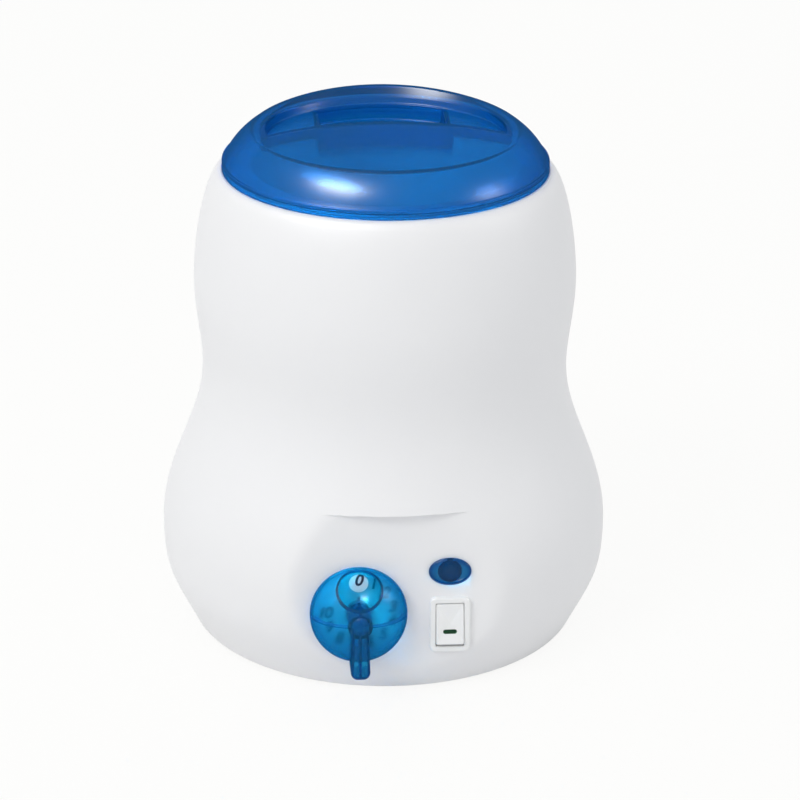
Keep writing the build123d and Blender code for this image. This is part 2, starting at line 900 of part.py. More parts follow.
knob_outside = knob_dome(0)
knob_inside = knob_dome(knob_wall)
hub_top = knob_lift + knob_skirt + knob_rise - knob_wall / 2
flat_side = (Align.CENTER, Align.MIN)
with BuildPart() as lever:
    with BuildSketch(Plane.XY.offset(lever_low)):
        with BuildLine():
            Polyline(
                (lever_neck / 2, 0),
                (lever_tip / 2, lever_tip / 2 - lever_length),
                (lever_tip / 2, -lever_length),
                (-lever_tip / 2, -lever_length),
                (-lever_tip / 2, lever_tip / 2 - lever_length),
                (-lever_neck / 2, 0),
                close=True,
            )
        make_face()
    extrude(amount=lever_top - lever_low)
    tip_edges = lever.edges().filter_by(Axis.Z).sort_by(Axis.Y)[0:2]
    fillet(tip_edges, lever_corner)
    with BuildSketch(Plane.YZ):
        with BuildLine():
            Polyline(
                (hub_radius, lever_low),
                (hub_radius, lever_top),
                (0, lever_top),
                (-lever_length, lever_tip_top),
                (-lever_length, lever_low),
                close=True,
            )
        make_face()
    extrude(amount=lever_tip, both=True, mode=Mode.INTERSECT)
    add(knob_inside, mode=Mode.SUBTRACT)

with BuildPart() as knob_shape:
    add(knob_outside)
    add(knob_inside, mode=Mode.SUBTRACT)
    with BuildPart(mode=Mode.PRIVATE) as dish_cup:
        with Locations((0, dish_offset, dish_height)):
            Sphere(dish_radius + dish_wall)
        add(knob_outside, mode=Mode.INTERSECT)
    add(dish_cup.part)
    add(lever.part)
    with BuildPart(mode=Mode.PRIVATE) as hub:
        with BuildSketch(Plane.XY.offset(knob_lift + seat_gap)):
            Circle(hub_radius)
            Rectangle(2 * knob_radius, web_thickness)
            with Locations((0, dish_offset / 2)):
                Rectangle(web_thickness, dish_offset)
        extrude(amount=hub_top)
        add(knob_outside, mode=Mode.INTERSECT)
        with BuildSketch(Plane.XY.offset(knob_lift)):
            Circle(knob_radius)
            Circle(hub_radius, mode=Mode.SUBTRACT)
        extrude(amount=ring_low + ring_length + seat_gap, mode=Mode.SUBTRACT)
    add(hub.part)
    with Locations((0, dish_offset, dish_height)):
        Sphere(dish_radius, mode=Mode.SUBTRACT)
    with BuildSketch(Plane.XY):
        with Locations((0, window_offset)):
            Circle(window_radius)
    extrude(amount=dish_height, mode=Mode.SUBTRACT)
    with BuildSketch(Plane.XY):
        Circle(shaft_radius + running_fit)
        with Locations((0, shaft_flat + running_fit)):
            Rectangle(4 * shaft_radius, 2 * shaft_radius, align=flat_side, mode=Mode.SUBTRACT)
    extrude(amount=shaft_top + fit_gap, mode=Mode.SUBTRACT)
knob_place = on_panel(knob_x, knob_drop).location
save(knob_shape.part.moved(knob_place), "knob")

# Steel ring that grips the knob's hub on the shaft
grip_ring = ring(hub_radius + seat_gap / 2, hub_radius + ring_thickness, ring_low, ring_low + ring_length)
save(grip_ring.moved(knob_place), "knob_ring")

# Thermostat shaft with a flat for the knob
with BuildPart() as shaft:
    with BuildSketch(Plane.XY.offset(-panel_back - shaft_engagement)):
        Circle(shaft_radius)
    extrude(amount=panel_back + shaft_engagement + shaft_top)
    with BuildSketch(Plane.XY):
        with Locations((0, shaft_flat)):
            Rectangle(4 * shaft_radius, 2 * shaft_radius, align=flat_side)
    extrude(amount=shaft_top, mode=Mode.SUBTRACT)
save(shaft.part.moved(knob_place), "thermostat_shaft")

# Dial plate with the numbers, set into the control face and hiding the thermostat's screws
dial_disc = ring(shaft_hole, dial_radius, -dial_recess, dial_thickness - dial_recess)
save(dial_disc.moved(knob_place), "dial_plate")

# Thermostat body with its shaft bore, screw holes and two terminal tabs
with BuildPart() as thermostat:
    with BuildSketch(Plane.XY.offset(-thermostat_back)):
        RectangleRounded(thermostat_width, thermostat_height, thermostat_corner)
        with Locations((thermostat_screw_reach, 0), (-thermostat_screw_reach, 0)):
            Circle(screw_radius + screw_fit, mode=Mode.SUBTRACT)
    extrude(amount=thermostat_depth)
    with BuildSketch(Plane.XY.offset(-panel_back)):
        Circle(shaft_radius + running_fit)
    extrude(amount=-shaft_engagement - fit_gap, mode=Mode.SUBTRACT)
save(thermostat.part.moved(knob_place), "thermostat")


def tab(length):
    """A flat blade terminal that points back from its housing."""
    with BuildPart() as blade:
        with BuildSketch(Plane.XY):
            Rectangle(tab_width, tab_thickness)
        extrude(amount=-length)
    return blade.part


thermostat_tab_places = [
    knob_place * Location((side * thermostat_tab_reach, 0, -thermostat_back)) for side in (-1, 1)
]
save(place(tab(tab_length), thermostat_tab_places), "thermostat_tabs")

thermostat_screw_places = [
    knob_place * Location((side * thermostat_screw_reach, 0, -dial_recess - screw_head_height))
    for side in (-1, 1)
]
save(place(screw(thermostat_screw_length), thermostat_screw_places), "thermostat_screws")

# Sensor bulb under the well, drawn in one with its fine tube to the thermostat
tube_end = (knob_place * Location((0, 0, -thermostat_back - lead_gap))).position
with BuildPart() as sensor_bulb:
    with BuildSketch(Plane.YZ.offset(bulb_x)):
        with Locations((bulb_y, bulb_height)):
            Circle(bulb_radius)
    extrude(amount=bulb_length)
    add(
        tube_along(
            [
                (bulb_x + tube_join, bulb_y, bulb_height),
                (tube_turn_x, bulb_y, bulb_height),
                (tube_turn_x, tube_turn_y, bulb_height),
                (tube_turn_x, tube_turn_y, tube_end.Z),
                (tube_turn_x, tube_end.Y, tube_end.Z),
            ],
            tube_radius,
            tube_bend,
        )
    )
save(sensor_bulb.part, "sensor_bulb")

# Saddle clip that holds the bulb against the well, on two studs
with BuildPart() as bulb_clip:
    with BuildSketch(Plane.YZ.offset(clip_stud_x - clip_width / 2)):
        with Locations((bulb_y, bulb_height)):
            Circle(bulb_radius + clip_metal + seat_gap)
        with Locations((bulb_y, well_low - seat_gap)):
            Rectangle(2 * clip_reach + clip_ear, clip_metal, align=(Align.CENTER, Align.MAX))
        with Locations((bulb_y, bulb_height)):
            Circle(bulb_radius + seat_gap / 2, mode=Mode.SUBTRACT)
        with Locations((bulb_y, well_low - seat_gap)):
            Rectangle(2 * clip_reach, 2 * bulb_radius, align=(Align.CENTER, Align.MIN), mode=Mode.SUBTRACT)
            Rectangle(2 * bulb_radius, bulb_radius, align=(Align.CENTER, Align.MAX), mode=Mode.SUBTRACT)
    extrude(amount=clip_width)
    with BuildSketch(Plane.XY.offset(well_low)):
        with Locations(*clip_studs):
            Circle(stud_radius + seat_gap)
    extrude(amount=-stud_length / 2, mode=Mode.SUBTRACT)
save(bulb_clip.part, "bulb_clip")

# Thermal cut-out, a disc switch with two ears held flat to the well, and its tabs
cutout_top = well_low - seat_gap
with BuildPart() as thermal_cutout:
    with Locations((cutout_x, cutout_y, 0)):
        add(ring(0, cutout_radius, cutout_top - cutout_depth, cutout_top))
    with BuildSketch(Plane.XY.offset(cutout_top)):
        with Locations((cutout_x, cutout_y)):
            SlotOverall(2 * cutout_reach + clip_ear, clip_ear)
    extrude(amount=-clip_metal)
    with BuildSketch(Plane.XY.offset(cutout_top)):
        with Locations(*cutout_studs):
            Circle(stud_radius + seat_gap)
    extrude(amount=-clip_metal, mode=Mode.SUBTRACT)
save(thermal_cutout.part, "thermal_cutout")
cutout_tab_height = cutout_top - cutout_depth + cutout_tab_lift
with BuildPart() as cutout_tab:
    with BuildSketch(Plane.XY):
        with Locations((0, cutout_radius + seat_gap)):
            Rectangle(tab_width, tab_length, align=(Align.CENTER, Align.MIN))
    extrude(amount=tab_thickness)
cutout_tab_places = [
    Location((cutout_x, cutout_y, cutout_tab_height)) * Rotation(0, 0, turn) for turn in (0, 180)
]
save(place(cutout_tab.part, cutout_tab_places), "cutout_tabs")

# Nuts on the well's short studs
with BuildPart() as stud_nut:
    with BuildSketch(Plane.XY.offset(well_low - seat_gap - clip_metal - seat_gap)):
        RegularPolygon(stud_nut_radius, 6)
        Circle(stud_radius + screw_fit, mode=Mode.SUBTRACT)
    extrude(amount=-stud_nut_height)
save(place(stud_nut.part, [Location((x, y, 0)) for x, y in clip_studs + cutout_studs]), "stud_nuts")

# Indicator lamp: an oval dished lens whose neck passes through the panel
lamp_place = on_panel(lamp_x, lamp_drop).location
with BuildPart() as lamp_lens:
    with BuildSketch(Plane.XY):
        Ellipse(lens_half_width, lens_half_height)
    extrude(amount=lens_proud)
    fillet(lamp_lens.edges().sort_by(Axis.Z)[-1], lens_edge)
    with BuildSketch(Plane.XY.offset(lens_proud)):
        Ellipse(lens_half_width - lens_rim, lens_half_height - lens_rim)
        Circle(lens_boss_radius, mode=Mode.SUBTRACT)
    extrude(amount=-lens_dish, mode=Mode.SUBTRACT)
    with BuildSketch(Plane.XY):
        Circle(lamp_neck_radius)
        Circle(lamp_neck_radius - lamp_neck_wall, mode=Mode.SUBTRACT)
    extrude(amount=-lamp_neck_length)
save(lamp_lens.part.moved(lamp_place), "lamp_lens")
lamp_ring = ring(lamp_neck_radius + screw_fit, nut_radius, -wall - nut_thickness, -wall)
save(lamp_ring.moved(lamp_place), "lamp_nut")
socket_top = socket_overlap - lamp_neck_length
socket_radius = lamp_neck_radius - lamp_neck_wall - screw_fit
save(ring(0, socket_radius, socket_top - socket_length, socket_top).moved(lamp_place), "lamp_socket")
with BuildPart() as neon_bulb:
    add(ring(0, neon_radius, socket_top, -neon_depth))
    fillet(neon_bulb.edges().filter_by(GeomType.CIRCLE).sort_by(Axis.Z)[-1], neon_tip)
save(neon_bulb.part.moved(lamp_place), "neon_bulb")

# Rocker switch: a bezel and housing in one, open at the front for the rocker
switch_place = on_panel(lamp_x, switch_drop).location
with BuildPart() as switch_housing:
    with BuildSketch(Plane.XY):
        RectangleRounded(bezel_width, bezel_height, bezel_corner)
    extrude(amount=bezel_proud)
    chamfer(switch_housing.edges().group_by(Axis.Z)[-1], bezel_edge)
    with BuildSketch(Plane.XY):
        Rectangle(switch_width, switch_height)
    extrude(amount=-switch_depth)
    with BuildSketch(Plane.XY.offset(bezel_proud)):
        Rectangle(rocker_well_width, rocker_well_height)
    extrude(amount=-bezel_proud - rocker_well_depth, mode=Mode.SUBTRACT)
    with BuildSketch(Plane.YZ):
        with Locations((0, -rocker_pivot)):
            Circle(pivot_radius + running_fit)
    extrude(amount=bezel_width / 2, both=True, mode=Mode.SUBTRACT)
save(switch_housing.part.moved(switch_place), "switch_housing")

# Rocker with a shallow bend across its face, at rest pressed in at the top, and the slot for its lens
slot_height = rocker_middle + (rocker_end - rocker_middle) * slot_drop / rocker_half - slot_depth
with BuildPart() as rocker:
    with BuildSketch(Plane.YZ):
        with BuildLine():
            Polyline(
                (-rocker_half, rocker_end),
                (0, rocker_middle),
                (rocker_half, rocker_end),
                (rocker_half, -rocker_depth),
                (-rocker_half, -rocker_depth),
                close=True,
            )
        make_face()
    extrude(amount=rocker_width / 2, both=True)
    with BuildSketch(Plane.YZ):
        with Locations((0, -rocker_pivot)):
            Circle(pivot_radius)
    extrude(amount=rocker_width / 2 + pivot_reach, both=True)
    with BuildSketch(Plane.XY.offset(slot_height)):
        with Locations((0, -slot_drop)):
            SlotOverall(slot_length, slot_width)
    extrude(amount=rocker_end, mode=Mode.SUBTRACT)
with BuildPart() as rocker_lens:
    with BuildSketch(Plane.XY.offset(slot_height + screw_fit)):
        with Locations((0, -slot_drop)):
            SlotOverall(slot_length - seat_gap, slot_width - seat_gap)
    extrude(amount=slot_depth)
pivot_place = Location((0, 0, -rocker_pivot))
rocker_place = switch_place * pivot_place * Rotation(-rocker_tilt, 0, 0) * pivot_place.inverse()
save(rocker.part.moved(rocker_place), "rocker")
save(rocker_lens.part.moved(rocker_place), "rocker_lens")
switch_tab_places = [
    switch_place * Location((0, side * switch_tab_reach, -switch_depth)) for side in (-1, 1)
]
save(place(tab(tab_length), switch_tab_places), "switch_tabs")

# Cord gland: a flanged bush through the rear shell, held inside by its nut
gland_place = Location((0, 0, gland_height)) * Rotation(-90, 0, 0)
with BuildPart() as cord_gland:
    add(ring(gland_bore, gland_flange_radius, gland_seat, gland_seat + gland_flange))
    outer_rims = cord_gland.edges().group_by(Axis.Z)[-1].sort_by(SortBy.RADIUS)
    fillet(outer_rims[-1], gland_edge)
    add(ring(gland_bore, gland_radius, gland_inner_end, gland_seat))
save(cord_gland.part.moved(gland_place), "cord_gland")
nut_back = gland_pad_face - seat_gap
with BuildPart() as gland_nut:
    with BuildSketch(Plane.XY.offset(nut_back - gland_nut_thickness)):
        RegularPolygon(gland_nut_radius, 6)
        Circle(gland_radius + screw_fit, mode=Mode.SUBTRACT)
    extrude(amount=gland_nut_thickness)
save(gland_nut.part.moved(gland_place), "gland_nut")

# Clamp bar over the cord's seat on the base plate
with BuildPart() as cord_clamp:
    with BuildSketch(Plane.XY.offset(gland_height + seat_gap)):
        with Locations((0, clamp_y)):
            RectangleRounded(clamp_width, clamp_depth, clamp_corner)
        with Locations((clamp_screw_reach, clamp_y), (-clamp_screw_reach, clamp_y)):
            Circle(screw_radius + fit_gap, mode=Mode.SUBTRACT)
    extrude(amount=clamp_bar)
    with BuildSketch(Plane.XZ.offset(-clamp_y + clamp_depth)):
        with Locations((0, gland_height)):
            Circle(gland_bore)
    extrude(amount=-2 * clamp_depth, mode=Mode.SUBTRACT)
save(cord_clamp.part, "cord_clamp")
clamp_top = gland_height + seat_gap + clamp_bar
clamp_screw_places = [Location((side * clamp_screw_reach, clamp_y, clamp_top)) for side in (-1, 1)]
save(place(screw(clamp_screw_length), clamp_screw_places), "clamp_screws")

# Three way terminal block, with a bore for each lead and a screw down each way
block_low = plate_top + block_lift
lead_height = block_low + block_height / 2
block_ways = [-block_pitch, 0, block_pitch]
with BuildPart() as terminal_block:
    with BuildSketch(Plane.XY.offset(block_low)):
        with Locations((0, block_y)):
            Rectangle(block_width, block_depth)
    extrude(amount=block_height)
    with BuildSketch(Plane.XZ.offset(-block_y + block_depth)):
        with Locations(*[(way, lead_height) for way in block_ways]):
            Circle(block_bore)
    extrude(amount=-2 * block_depth, mode=Mode.SUBTRACT)
    with BuildSketch(Plane.XY.offset(block_low + block_height)):
        with Locations(*[(way, block_y) for way in block_ways]):
            Circle(screw_radius + screw_fit)
    extrude(amount=-block_height / 2, mode=Mode.SUBTRACT)
save(terminal_block.part, "terminal_block")
block_screw_length = block_height / 2 - block_bore - seat_gap
block_screw_places = [Location((way, block_y, block_low + block_height)) for way in block_ways]
save(place(screw(block_screw_length), block_screw_places), "terminal_screws")

# Leads between the terminal block, the switch, the thermostat, the cut-out and the heater
block_face = block_y - block_depth / 2 - lead_gap
tab_end = -tab_length - lead_gap
switch_low = (switch_place * Location((0, -switch_tab_reach, -switch_depth + tab_end))).position
switch_high = (switch_place * Location((0, switch_tab_reach, -switch_depth + tab_end))).position
stat_left, stat_right = [(spot * Location((0, 0, tab_end))).position for spot in thermostat_tab_places]
cutout_far = cutout_radius + seat_gap + tab_length + lead_gap
cutout_lead_height = cutout_tab_height + tab_thickness / 2
mat_end = mat_low - lead_gap


def lead(points, bend, name):
    """One insulated lead along its route."""
    save(tube_along(points, lead_radius, bend), name)


lead(
    [
        (block_pitch, block_face, lead_height),
        (block_pitch, lead_turn_y, lead_height),
        (switch_low.X, live_turn_y, switch_low.Z),
        (switch_low.X, switch_low.Y, switch_low.Z),
    ],
    lead_bend,
    "live_lead",
)
lead(
    [
        (switch_high.X, switch_high.Y, switch_high.Z),
        (switch_high.X, switch_high.Y + loop_depth, switch_high.Z),
        (stat_right.X, stat_right.Y + loop_depth, stat_right.Z),
        (stat_right.X, stat_right.Y, stat_right.Z),
    ],
    lead_bend,
    "switch_lead",
)
lead(
    [
        (stat_left.X, stat_left.Y, stat_left.Z),
        (stat_left.X, cutout_lead_y, stat_left.Z),
        (cutout_x, cutout_lead_y, cutout_lead_height),
        (cutout_x, cutout_y - cutout_far, cutout_lead_height),
    ],
    lead_bend,
    "thermostat_lead",
)
lead(
    [
        (cutout_x, cutout_y + cutout_far, cutout_lead_height),
        (cutout_x, heater_turn_y, cutout_lead_height),
        (-lead_x, lead_y, cutout_lead_height),
        (-lead_x, lead_y, mat_end),
    ],
    tube_bend,
    "cutout_lead",
)
first_height, second_height, third_height = neutral_heights
lead(
    [
        (0, block_face, lead_height),
        (0, lead_turn_y, lead_height),
        (neutral_x, neutral_turn_y, first_height),
        (neutral_x, heater_turn_y, second_height),
        (lead_x, lead_y, third_height),
        (lead_x, lead_y, mat_end),
    ],
    lead_bend,
    "neutral_lead",
)
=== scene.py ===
from math import asin, cos, hypot, pi, radians, sin, sqrt

import bmesh
import bpy
from mathutils import Matrix, Vector


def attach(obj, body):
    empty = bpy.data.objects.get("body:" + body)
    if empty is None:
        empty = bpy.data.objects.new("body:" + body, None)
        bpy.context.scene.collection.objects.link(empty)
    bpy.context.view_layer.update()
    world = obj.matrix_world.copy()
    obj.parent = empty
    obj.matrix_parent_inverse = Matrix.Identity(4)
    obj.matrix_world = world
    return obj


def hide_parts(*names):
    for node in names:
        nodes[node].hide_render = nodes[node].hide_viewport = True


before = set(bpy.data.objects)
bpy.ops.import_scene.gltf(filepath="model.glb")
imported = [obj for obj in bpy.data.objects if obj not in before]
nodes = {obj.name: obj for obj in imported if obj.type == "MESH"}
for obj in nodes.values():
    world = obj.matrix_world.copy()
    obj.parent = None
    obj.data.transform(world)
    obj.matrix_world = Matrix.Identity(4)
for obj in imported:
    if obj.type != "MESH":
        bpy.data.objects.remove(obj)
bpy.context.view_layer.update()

# Camera: a long lens a little above the warmer, seen from the front and slightly from its left.
# Its place and its small roll are those that lay the real outline on the model's.
camera = bpy.data.objects.new("camera", bpy.data.cameras.new("camera"))
camera.data.lens = 126
camera.data.sensor_width = 36
eye = Vector((-0.063868, -1.001172, 0.515276))
sight = Vector((0.0641396, 0.9172390, -0.3931397)).normalized()
roll = radians(0.49)
level = sight.cross(Vector((0, 0, 1))).normalized()
upright = level.cross(sight)
across = level * cos(roll) + upright * sin(roll)
above = upright * cos(roll) - level * sin(roll)
camera.matrix_world = Matrix.Translation(eye) @ Matrix((across, above, -sight)).transposed().to_4x4()
bpy.context.scene.collection.objects.link(camera)
bpy.context.scene.camera = camera
bpy.context.scene.view_settings.view_transform = "Standard"


# Studio: a white sweep that glows white to the eye and in gloss, lit evenly from all round,
# with a broad soft lamp high on the left and two window-like panels that shine in the lid.
class Signal:
    """A socket that takes part in sums, each of which adds its own node."""

    def __init__(self, look, socket):
        self.look = look
        self.socket = socket

    def sum(self, operation, *terms):
        return self.look.node("Math", {"operation": operation}, dict(enumerate(terms)))

    def __add__(self, other):
        return self.sum("ADD", self, other)

    def __mul__(self, other):
        return self.sum("MULTIPLY", self, other)

    def __pow__(self, other):
        return self.sum("POWER", self, other)

    __radd__ = __add__
    __rmul__ = __mul__


class Look:
    """The shader tree of one finish."""

    def __init__(self, owner):
        owner.use_nodes = True
        self.owner = owner
        self.tree = owner.node_tree
        self.tree.nodes.clear()

    def node(self, kind, settings=None, inputs=None, out=0):
        """A new node, its settings made first, then its sockets set or linked."""
        made = self.tree.nodes.new("ShaderNode" + kind)
        for name, value in (settings or {}).items():
            setattr(made, name, value)
        for name, value in (inputs or {}).items():
            socket = made.inputs[name]
            if isinstance(value, Signal):
                self.tree.links.new(value.socket, socket)
            elif hasattr(socket.default_value, "__len__") and len(socket.default_value) == 4:
                socket.default_value = (*value, 1)
            else:
                socket.default_value = value
        return Signal(self, made.outputs[out])

    def place(self):
        """Where on the piece a point lies."""
        return self.node("TexCoord", out="Object")

    def noise(self, scale, detail=2.0, where=None):
        where = where or self.place()
        return self.node("TexNoise", None, {"Vector": where, "Scale": scale, "Detail": detail}, "Fac")

    def blend(self, factor, low, high):
        """A colour between two others."""
        return self.node("Mix", {"data_type": "RGBA"}, {0: factor, 6: low, 7: high}, 2)

    def bump(self, height, depth):
        return self.node("Bump", None, {"Strength": 1.0, "Distance": depth, "Height": height})

    def close(self, surface, volume=None):
        """The finished material or world."""
        ends = {"Surface": surface}
        if volume:
            ends["Volume"] = volume
        kind = "OutputWorld" if isinstance(self.owner, bpy.types.World) else "OutputMaterial"
        made = self.tree.nodes.new("ShaderNode" + kind)
        for name, value in ends.items():
            self.tree.links.new(value.socket, made.inputs[name])
        return self.owner

    def seen(self):
        """One for rays that show a surface to the eye, straight, in gloss or through clear plastic."""
        camera_ray, gloss_ray, clear_ray = [
            self.node("LightPath", out=f"Is {ray} Ray") for ray in ("Camera", "Glossy", "Transmission")
        ]
        return camera_ray.sum("MAXIMUM", camera_ray.sum("MAXIMUM", camera_ray, gloss_ray), clear_ray)


def finish(name):
    return Look(bpy.data.materials.new(name))


room_grey = (0.8, 0.81, 0.825)
seen_white = (1.0, 1.0, 0.99)
paper_grey = (0.86, 0.86, 0.86)
sweep_glow = 0.9
sweep_reach = 6.0

room = Look(bpy.data.worlds.new("room"))
room_light = room.blend(room.seen(), room_grey, seen_white)
room.close(room.node("Background", None, {"Color": room_light, "Strength": 1.0}))
bpy.context.scene.world = room.owner

sweep_look = finish("sweep")
paper = sweep_look.node("BsdfDiffuse", None, {"Color": paper_grey})
glow = sweep_look.node("Emission", None, {"Color": seen_white, "Strength": 1.0})
shown = sweep_look.seen() * sweep_glow
sweep_look.close(sweep_look.node("MixShader", None, {0: shown, 1: paper, 2: glow}))
sweep_mesh = bpy.data.meshes.new("sweep")
sweep_corners = [(sweep_reach * x, sweep_reach * y, 0) for x, y in ((-1, -1), (1, -1), (1, 1), (-1, 1))]
sweep_mesh.from_pydata(sweep_corners, [], [(0, 1, 2, 3)])
sweep = bpy.data.objects.new("sweep", sweep_mesh)
sweep_mesh.materials.append(sweep_look.owner)
bpy.context.scene.collection.objects.link(sweep)


def softbox(name, place, target, width, height, power, colour=(1, 1, 1)):
    """A round or oval lamp that faces its target."""
    lamp = bpy.data.lights.new(name, "AREA")
    lamp.shape = "ELLIPSE"
    lamp.size = width
    lamp.size_y = height
    lamp.energy = power
    lamp.color = colour
    holder = bpy.data.objects.new(name, lamp)
    aim = (Vector(target) - Vector(place)).to_track_quat("-Z", "Y")
    holder.matrix_world = Matrix.Translation(place) @ aim.to_matrix().to_4x4()
    bpy.context.scene.collection.objects.link(holder)
    return holder


casing_middle = (0, 0, 0.1)
lid_middle = (0, 0, 0.19)
softbox("high_left", (-1.5, -1.3, 1.9), casing_middle, 1.2, 1.2, 17, (1.0, 0.99, 0.965))
softbox("shine_left", (-0.83, -0.62, 1.8), lid_middle, 1.0, 0.5, 130).visible_diffuse = False
softbox("shine_right", (1.6, -0.35, 1.0), lid_middle, 0.6, 0.5, 24).visible_diffuse = False

# Rubber feet: four moulded pads, pressed into the base plate from below by a beaded peg.
# Dull black rubber, a little greyer where it rubs. Geometry Nodes repeat one at four corners.
MM = 0.001
soft_angle = 32


def mesh_of(name, points, faces, place=None):
    """A closed mesh from points in millimetres, its faces turned outwards."""
    mesh = bpy.data.meshes.new(name)
    mesh.from_pydata([tuple(c * MM for c in point) for point in points], [], faces)
    if place:
        mesh.transform(place)
    shape = bmesh.new()
    shape.from_mesh(mesh)
    bmesh.ops.remove_doubles(shape, verts=shape.verts, dist=1e-7)
    bmesh.ops.recalc_face_normals(shape, faces=shape.faces)
    shape.to_mesh(mesh)
    shape.free()
    return mesh


def piece_of(name, mesh, look, body, replaced, angle=35):
    """A shaded piece that rides on a body and stands for CAD nodes."""
    mesh.materials.clear()
    mesh.materials.append(look)
    for face in mesh.polygons:
        face.material_index = 0
    mesh.shade_smooth()
    mesh.set_sharp_from_angle(angle=radians(angle))
    piece = bpy.data.objects.new(name, mesh)
    bpy.context.scene.collection.objects.link(piece)
    modifier = piece.modifiers.new("shading", "WEIGHTED_NORMAL")
    modifier.keep_sharp = True
    bpy.context.view_layer.update()
    shaded = bpy.data.meshes.new_from_object(piece.evaluated_get(bpy.context.evaluated_depsgraph_get()))
    piece.modifiers.clear()
    piece.data = shaded
    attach(piece, body)
    if replaced:
        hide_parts(*replaced)
    return piece


def joined(node):
    """A copy of a CAD node's mesh with its loose triangles joined."""
    mesh = nodes[node].data.copy()
    shape = bmesh.new()
    shape.from_mesh(mesh)
    bmesh.ops.remove_doubles(shape, verts=shape.verts, dist=2e-6)
    shape.to_mesh(mesh)
    shape.free()
    return mesh


def refined(node, name, look, body):
    """The CAD node's own shape, with curved faces shaded as one."""
    return piece_of(name, joined(node), look, body, [node], soft_angle)


def moulded(name, colour, worn, roughness, grain=0.00002, size=2600.0):
    """Moulded plastic or rubber: a faint cloud of colour, uneven gloss and a fine grained skin."""
    look = finish(name)
    cloud = look.noise(45.0, 3.0)
    inputs = {
        "Base Color": look.blend(cloud, colour, worn),
        "Roughness": cloud * 0.1 + (roughness - 0.05),
        "Normal": look.bump(look.noise(size), grain),
        "IOR": 1.5,
    }
    return look.close(look.node("BsdfPrincipled", None, inputs))


def corners_tree():
    """Geometry Nodes that set a piece at the four corners of a rectangle."""
    tree = bpy.data.node_groups.new("four_corners", "GeometryNodeTree")
    sockets = {}
    for name, kind, way in (
        ("Piece", "NodeSocketGeometry", "INPUT"),
        ("Spacing X", "NodeSocketFloat", "INPUT"),
        ("Spacing Y", "NodeSocketFloat", "INPUT"),
        ("Finish", "NodeSocketMaterial", "INPUT"),
        ("Pieces", "NodeSocketGeometry", "OUTPUT"),
    ):
        sockets[name] = tree.interface.new_socket(name, in_out=way, socket_type=kind).identifier
    given = tree.nodes.new("NodeGroupInput")
    grid = tree.nodes.new("GeometryNodeMeshGrid")
    spread = tree.nodes.new("GeometryNodeInstanceOnPoints")
    real = tree.nodes.new("GeometryNodeRealizeInstances")
    dressed = tree.nodes.new("GeometryNodeSetMaterial")
    result = tree.nodes.new("NodeGroupOutput")
    grid.inputs["Vertices X"].default_value = 2
    grid.inputs["Vertices Y"].default_value = 2
    for source, target in (
        (given.outputs["Spacing X"], grid.inputs["Size X"]),
        (given.outputs["Spacing Y"], grid.inputs["Size Y"]),
        (grid.outputs["Mesh"], spread.inputs["Points"]),
        (given.outputs["Piece"], spread.inputs["Instance"]),
        (spread.outputs["Instances"], real.inputs["Geometry"]),
        (real.outputs["Geometry"], dressed.inputs["Geometry"]),
        (given.outputs["Finish"], dressed.inputs["Material"]),
        (dressed.outputs["Geometry"], result.inputs["Pieces"]),
    ):
        tree.links.new(source, target)
    return tree, sockets


four_corners, corner_sockets = corners_tree()


def cornered(node, name, look, body):
    """Four like pieces of a CAD node, repeated from the one on the positive side of both axes."""
    mesh = joined(node)
    shape = bmesh.new()
    shape.from_mesh(mesh)
    others = [vertex for vertex in shape.verts if vertex.co.x < 0 or vertex.co.y < 0]
    bmesh.ops.delete(shape, geom=others, context="VERTS")
    sides = [[vertex.co[axis] for vertex in shape.verts] for axis in (0, 1)]
    spacing = [min(side) + max(side) for side in sides]
    bmesh.ops.translate(shape, verts=shape.verts, vec=(-spacing[0] / 2, -spacing[1] / 2, 0))
    shape.to_mesh(mesh)
    shape.free()
    one = bpy.data.objects.new(name + "_one", mesh)
    bpy.context.scene.collection.objects.link(one)
    modifier = one.modifiers.new("corners", "NODES")
    modifier.node_group = four_corners
    modifier[corner_sockets["Spacing X"]] = spacing[0]
    modifier[corner_sockets["Spacing Y"]] = spacing[1]
    modifier[corner_sockets["Finish"]] = look
    bpy.context.view_layer.update()
    all_four = bpy.data.meshes.new_from_object(one.evaluated_get(bpy.context.evaluated_depsgraph_get()))
    bpy.data.objects.remove(one)
    return piece_of(name, all_four, look, body, [node], soft_angle)


rubber = moulded("black_rubber", (0.022, 0.022, 0.023), (0.04, 0.04, 0.041), 0.7, 0.00005, 1800.0)
cornered("feet", "rubber_feet", rubber, "root")

# Base plate: one moulding in grey plastic, with two rows of air slots and the seat of the cord clamp.
# It closes the casing from below and carries the whole inside.
grey = moulded("grey_base_plastic", (0.34, 0.345, 0.35), (0.29, 0.295, 0.3), 0.5, 0.00004, 1500.0)
refined("base_plate", "base_moulding", grey, "root")


# Screws from below and from behind: pan heads with a cross recess, zinc plated steel.
# Four hold the plate to the casing, four hold the posts, two pull the halves together.
def drawn(name, colour, dull, roughness, along=(1, 1, 1), size=900.0):
    """Rolled, drawn or plated metal, its fine lines drawn out along one direction."""
    look = finish(name)
    lines = look.node("Mapping", None, {"Vector": look.place(), "Scale": along})
    streak = look.noise(size, 3.0, lines)
    cloud = look.noise(60.0)
    inputs = {
        "Base Color": look.blend(cloud, colour, dull),
        "Metallic": 1.0,
        "Roughness": streak * 0.16 + (roughness - 0.08),
        "Normal": look.bump(streak, 0.000004),
    }
    return look.close(look.node("BsdfPrincipled", None, inputs))


zinc = drawn("zinc_plated_steel", (0.62, 0.62, 0.6), (0.5, 0.5, 0.5), 0.3)
cornered("base_screws", "plate_screws", zinc, "root")
cornered("post_screws", "screws_of_posts", zinc, "root")
refined("shell_screws", "long_rear_screws", zinc, "root")


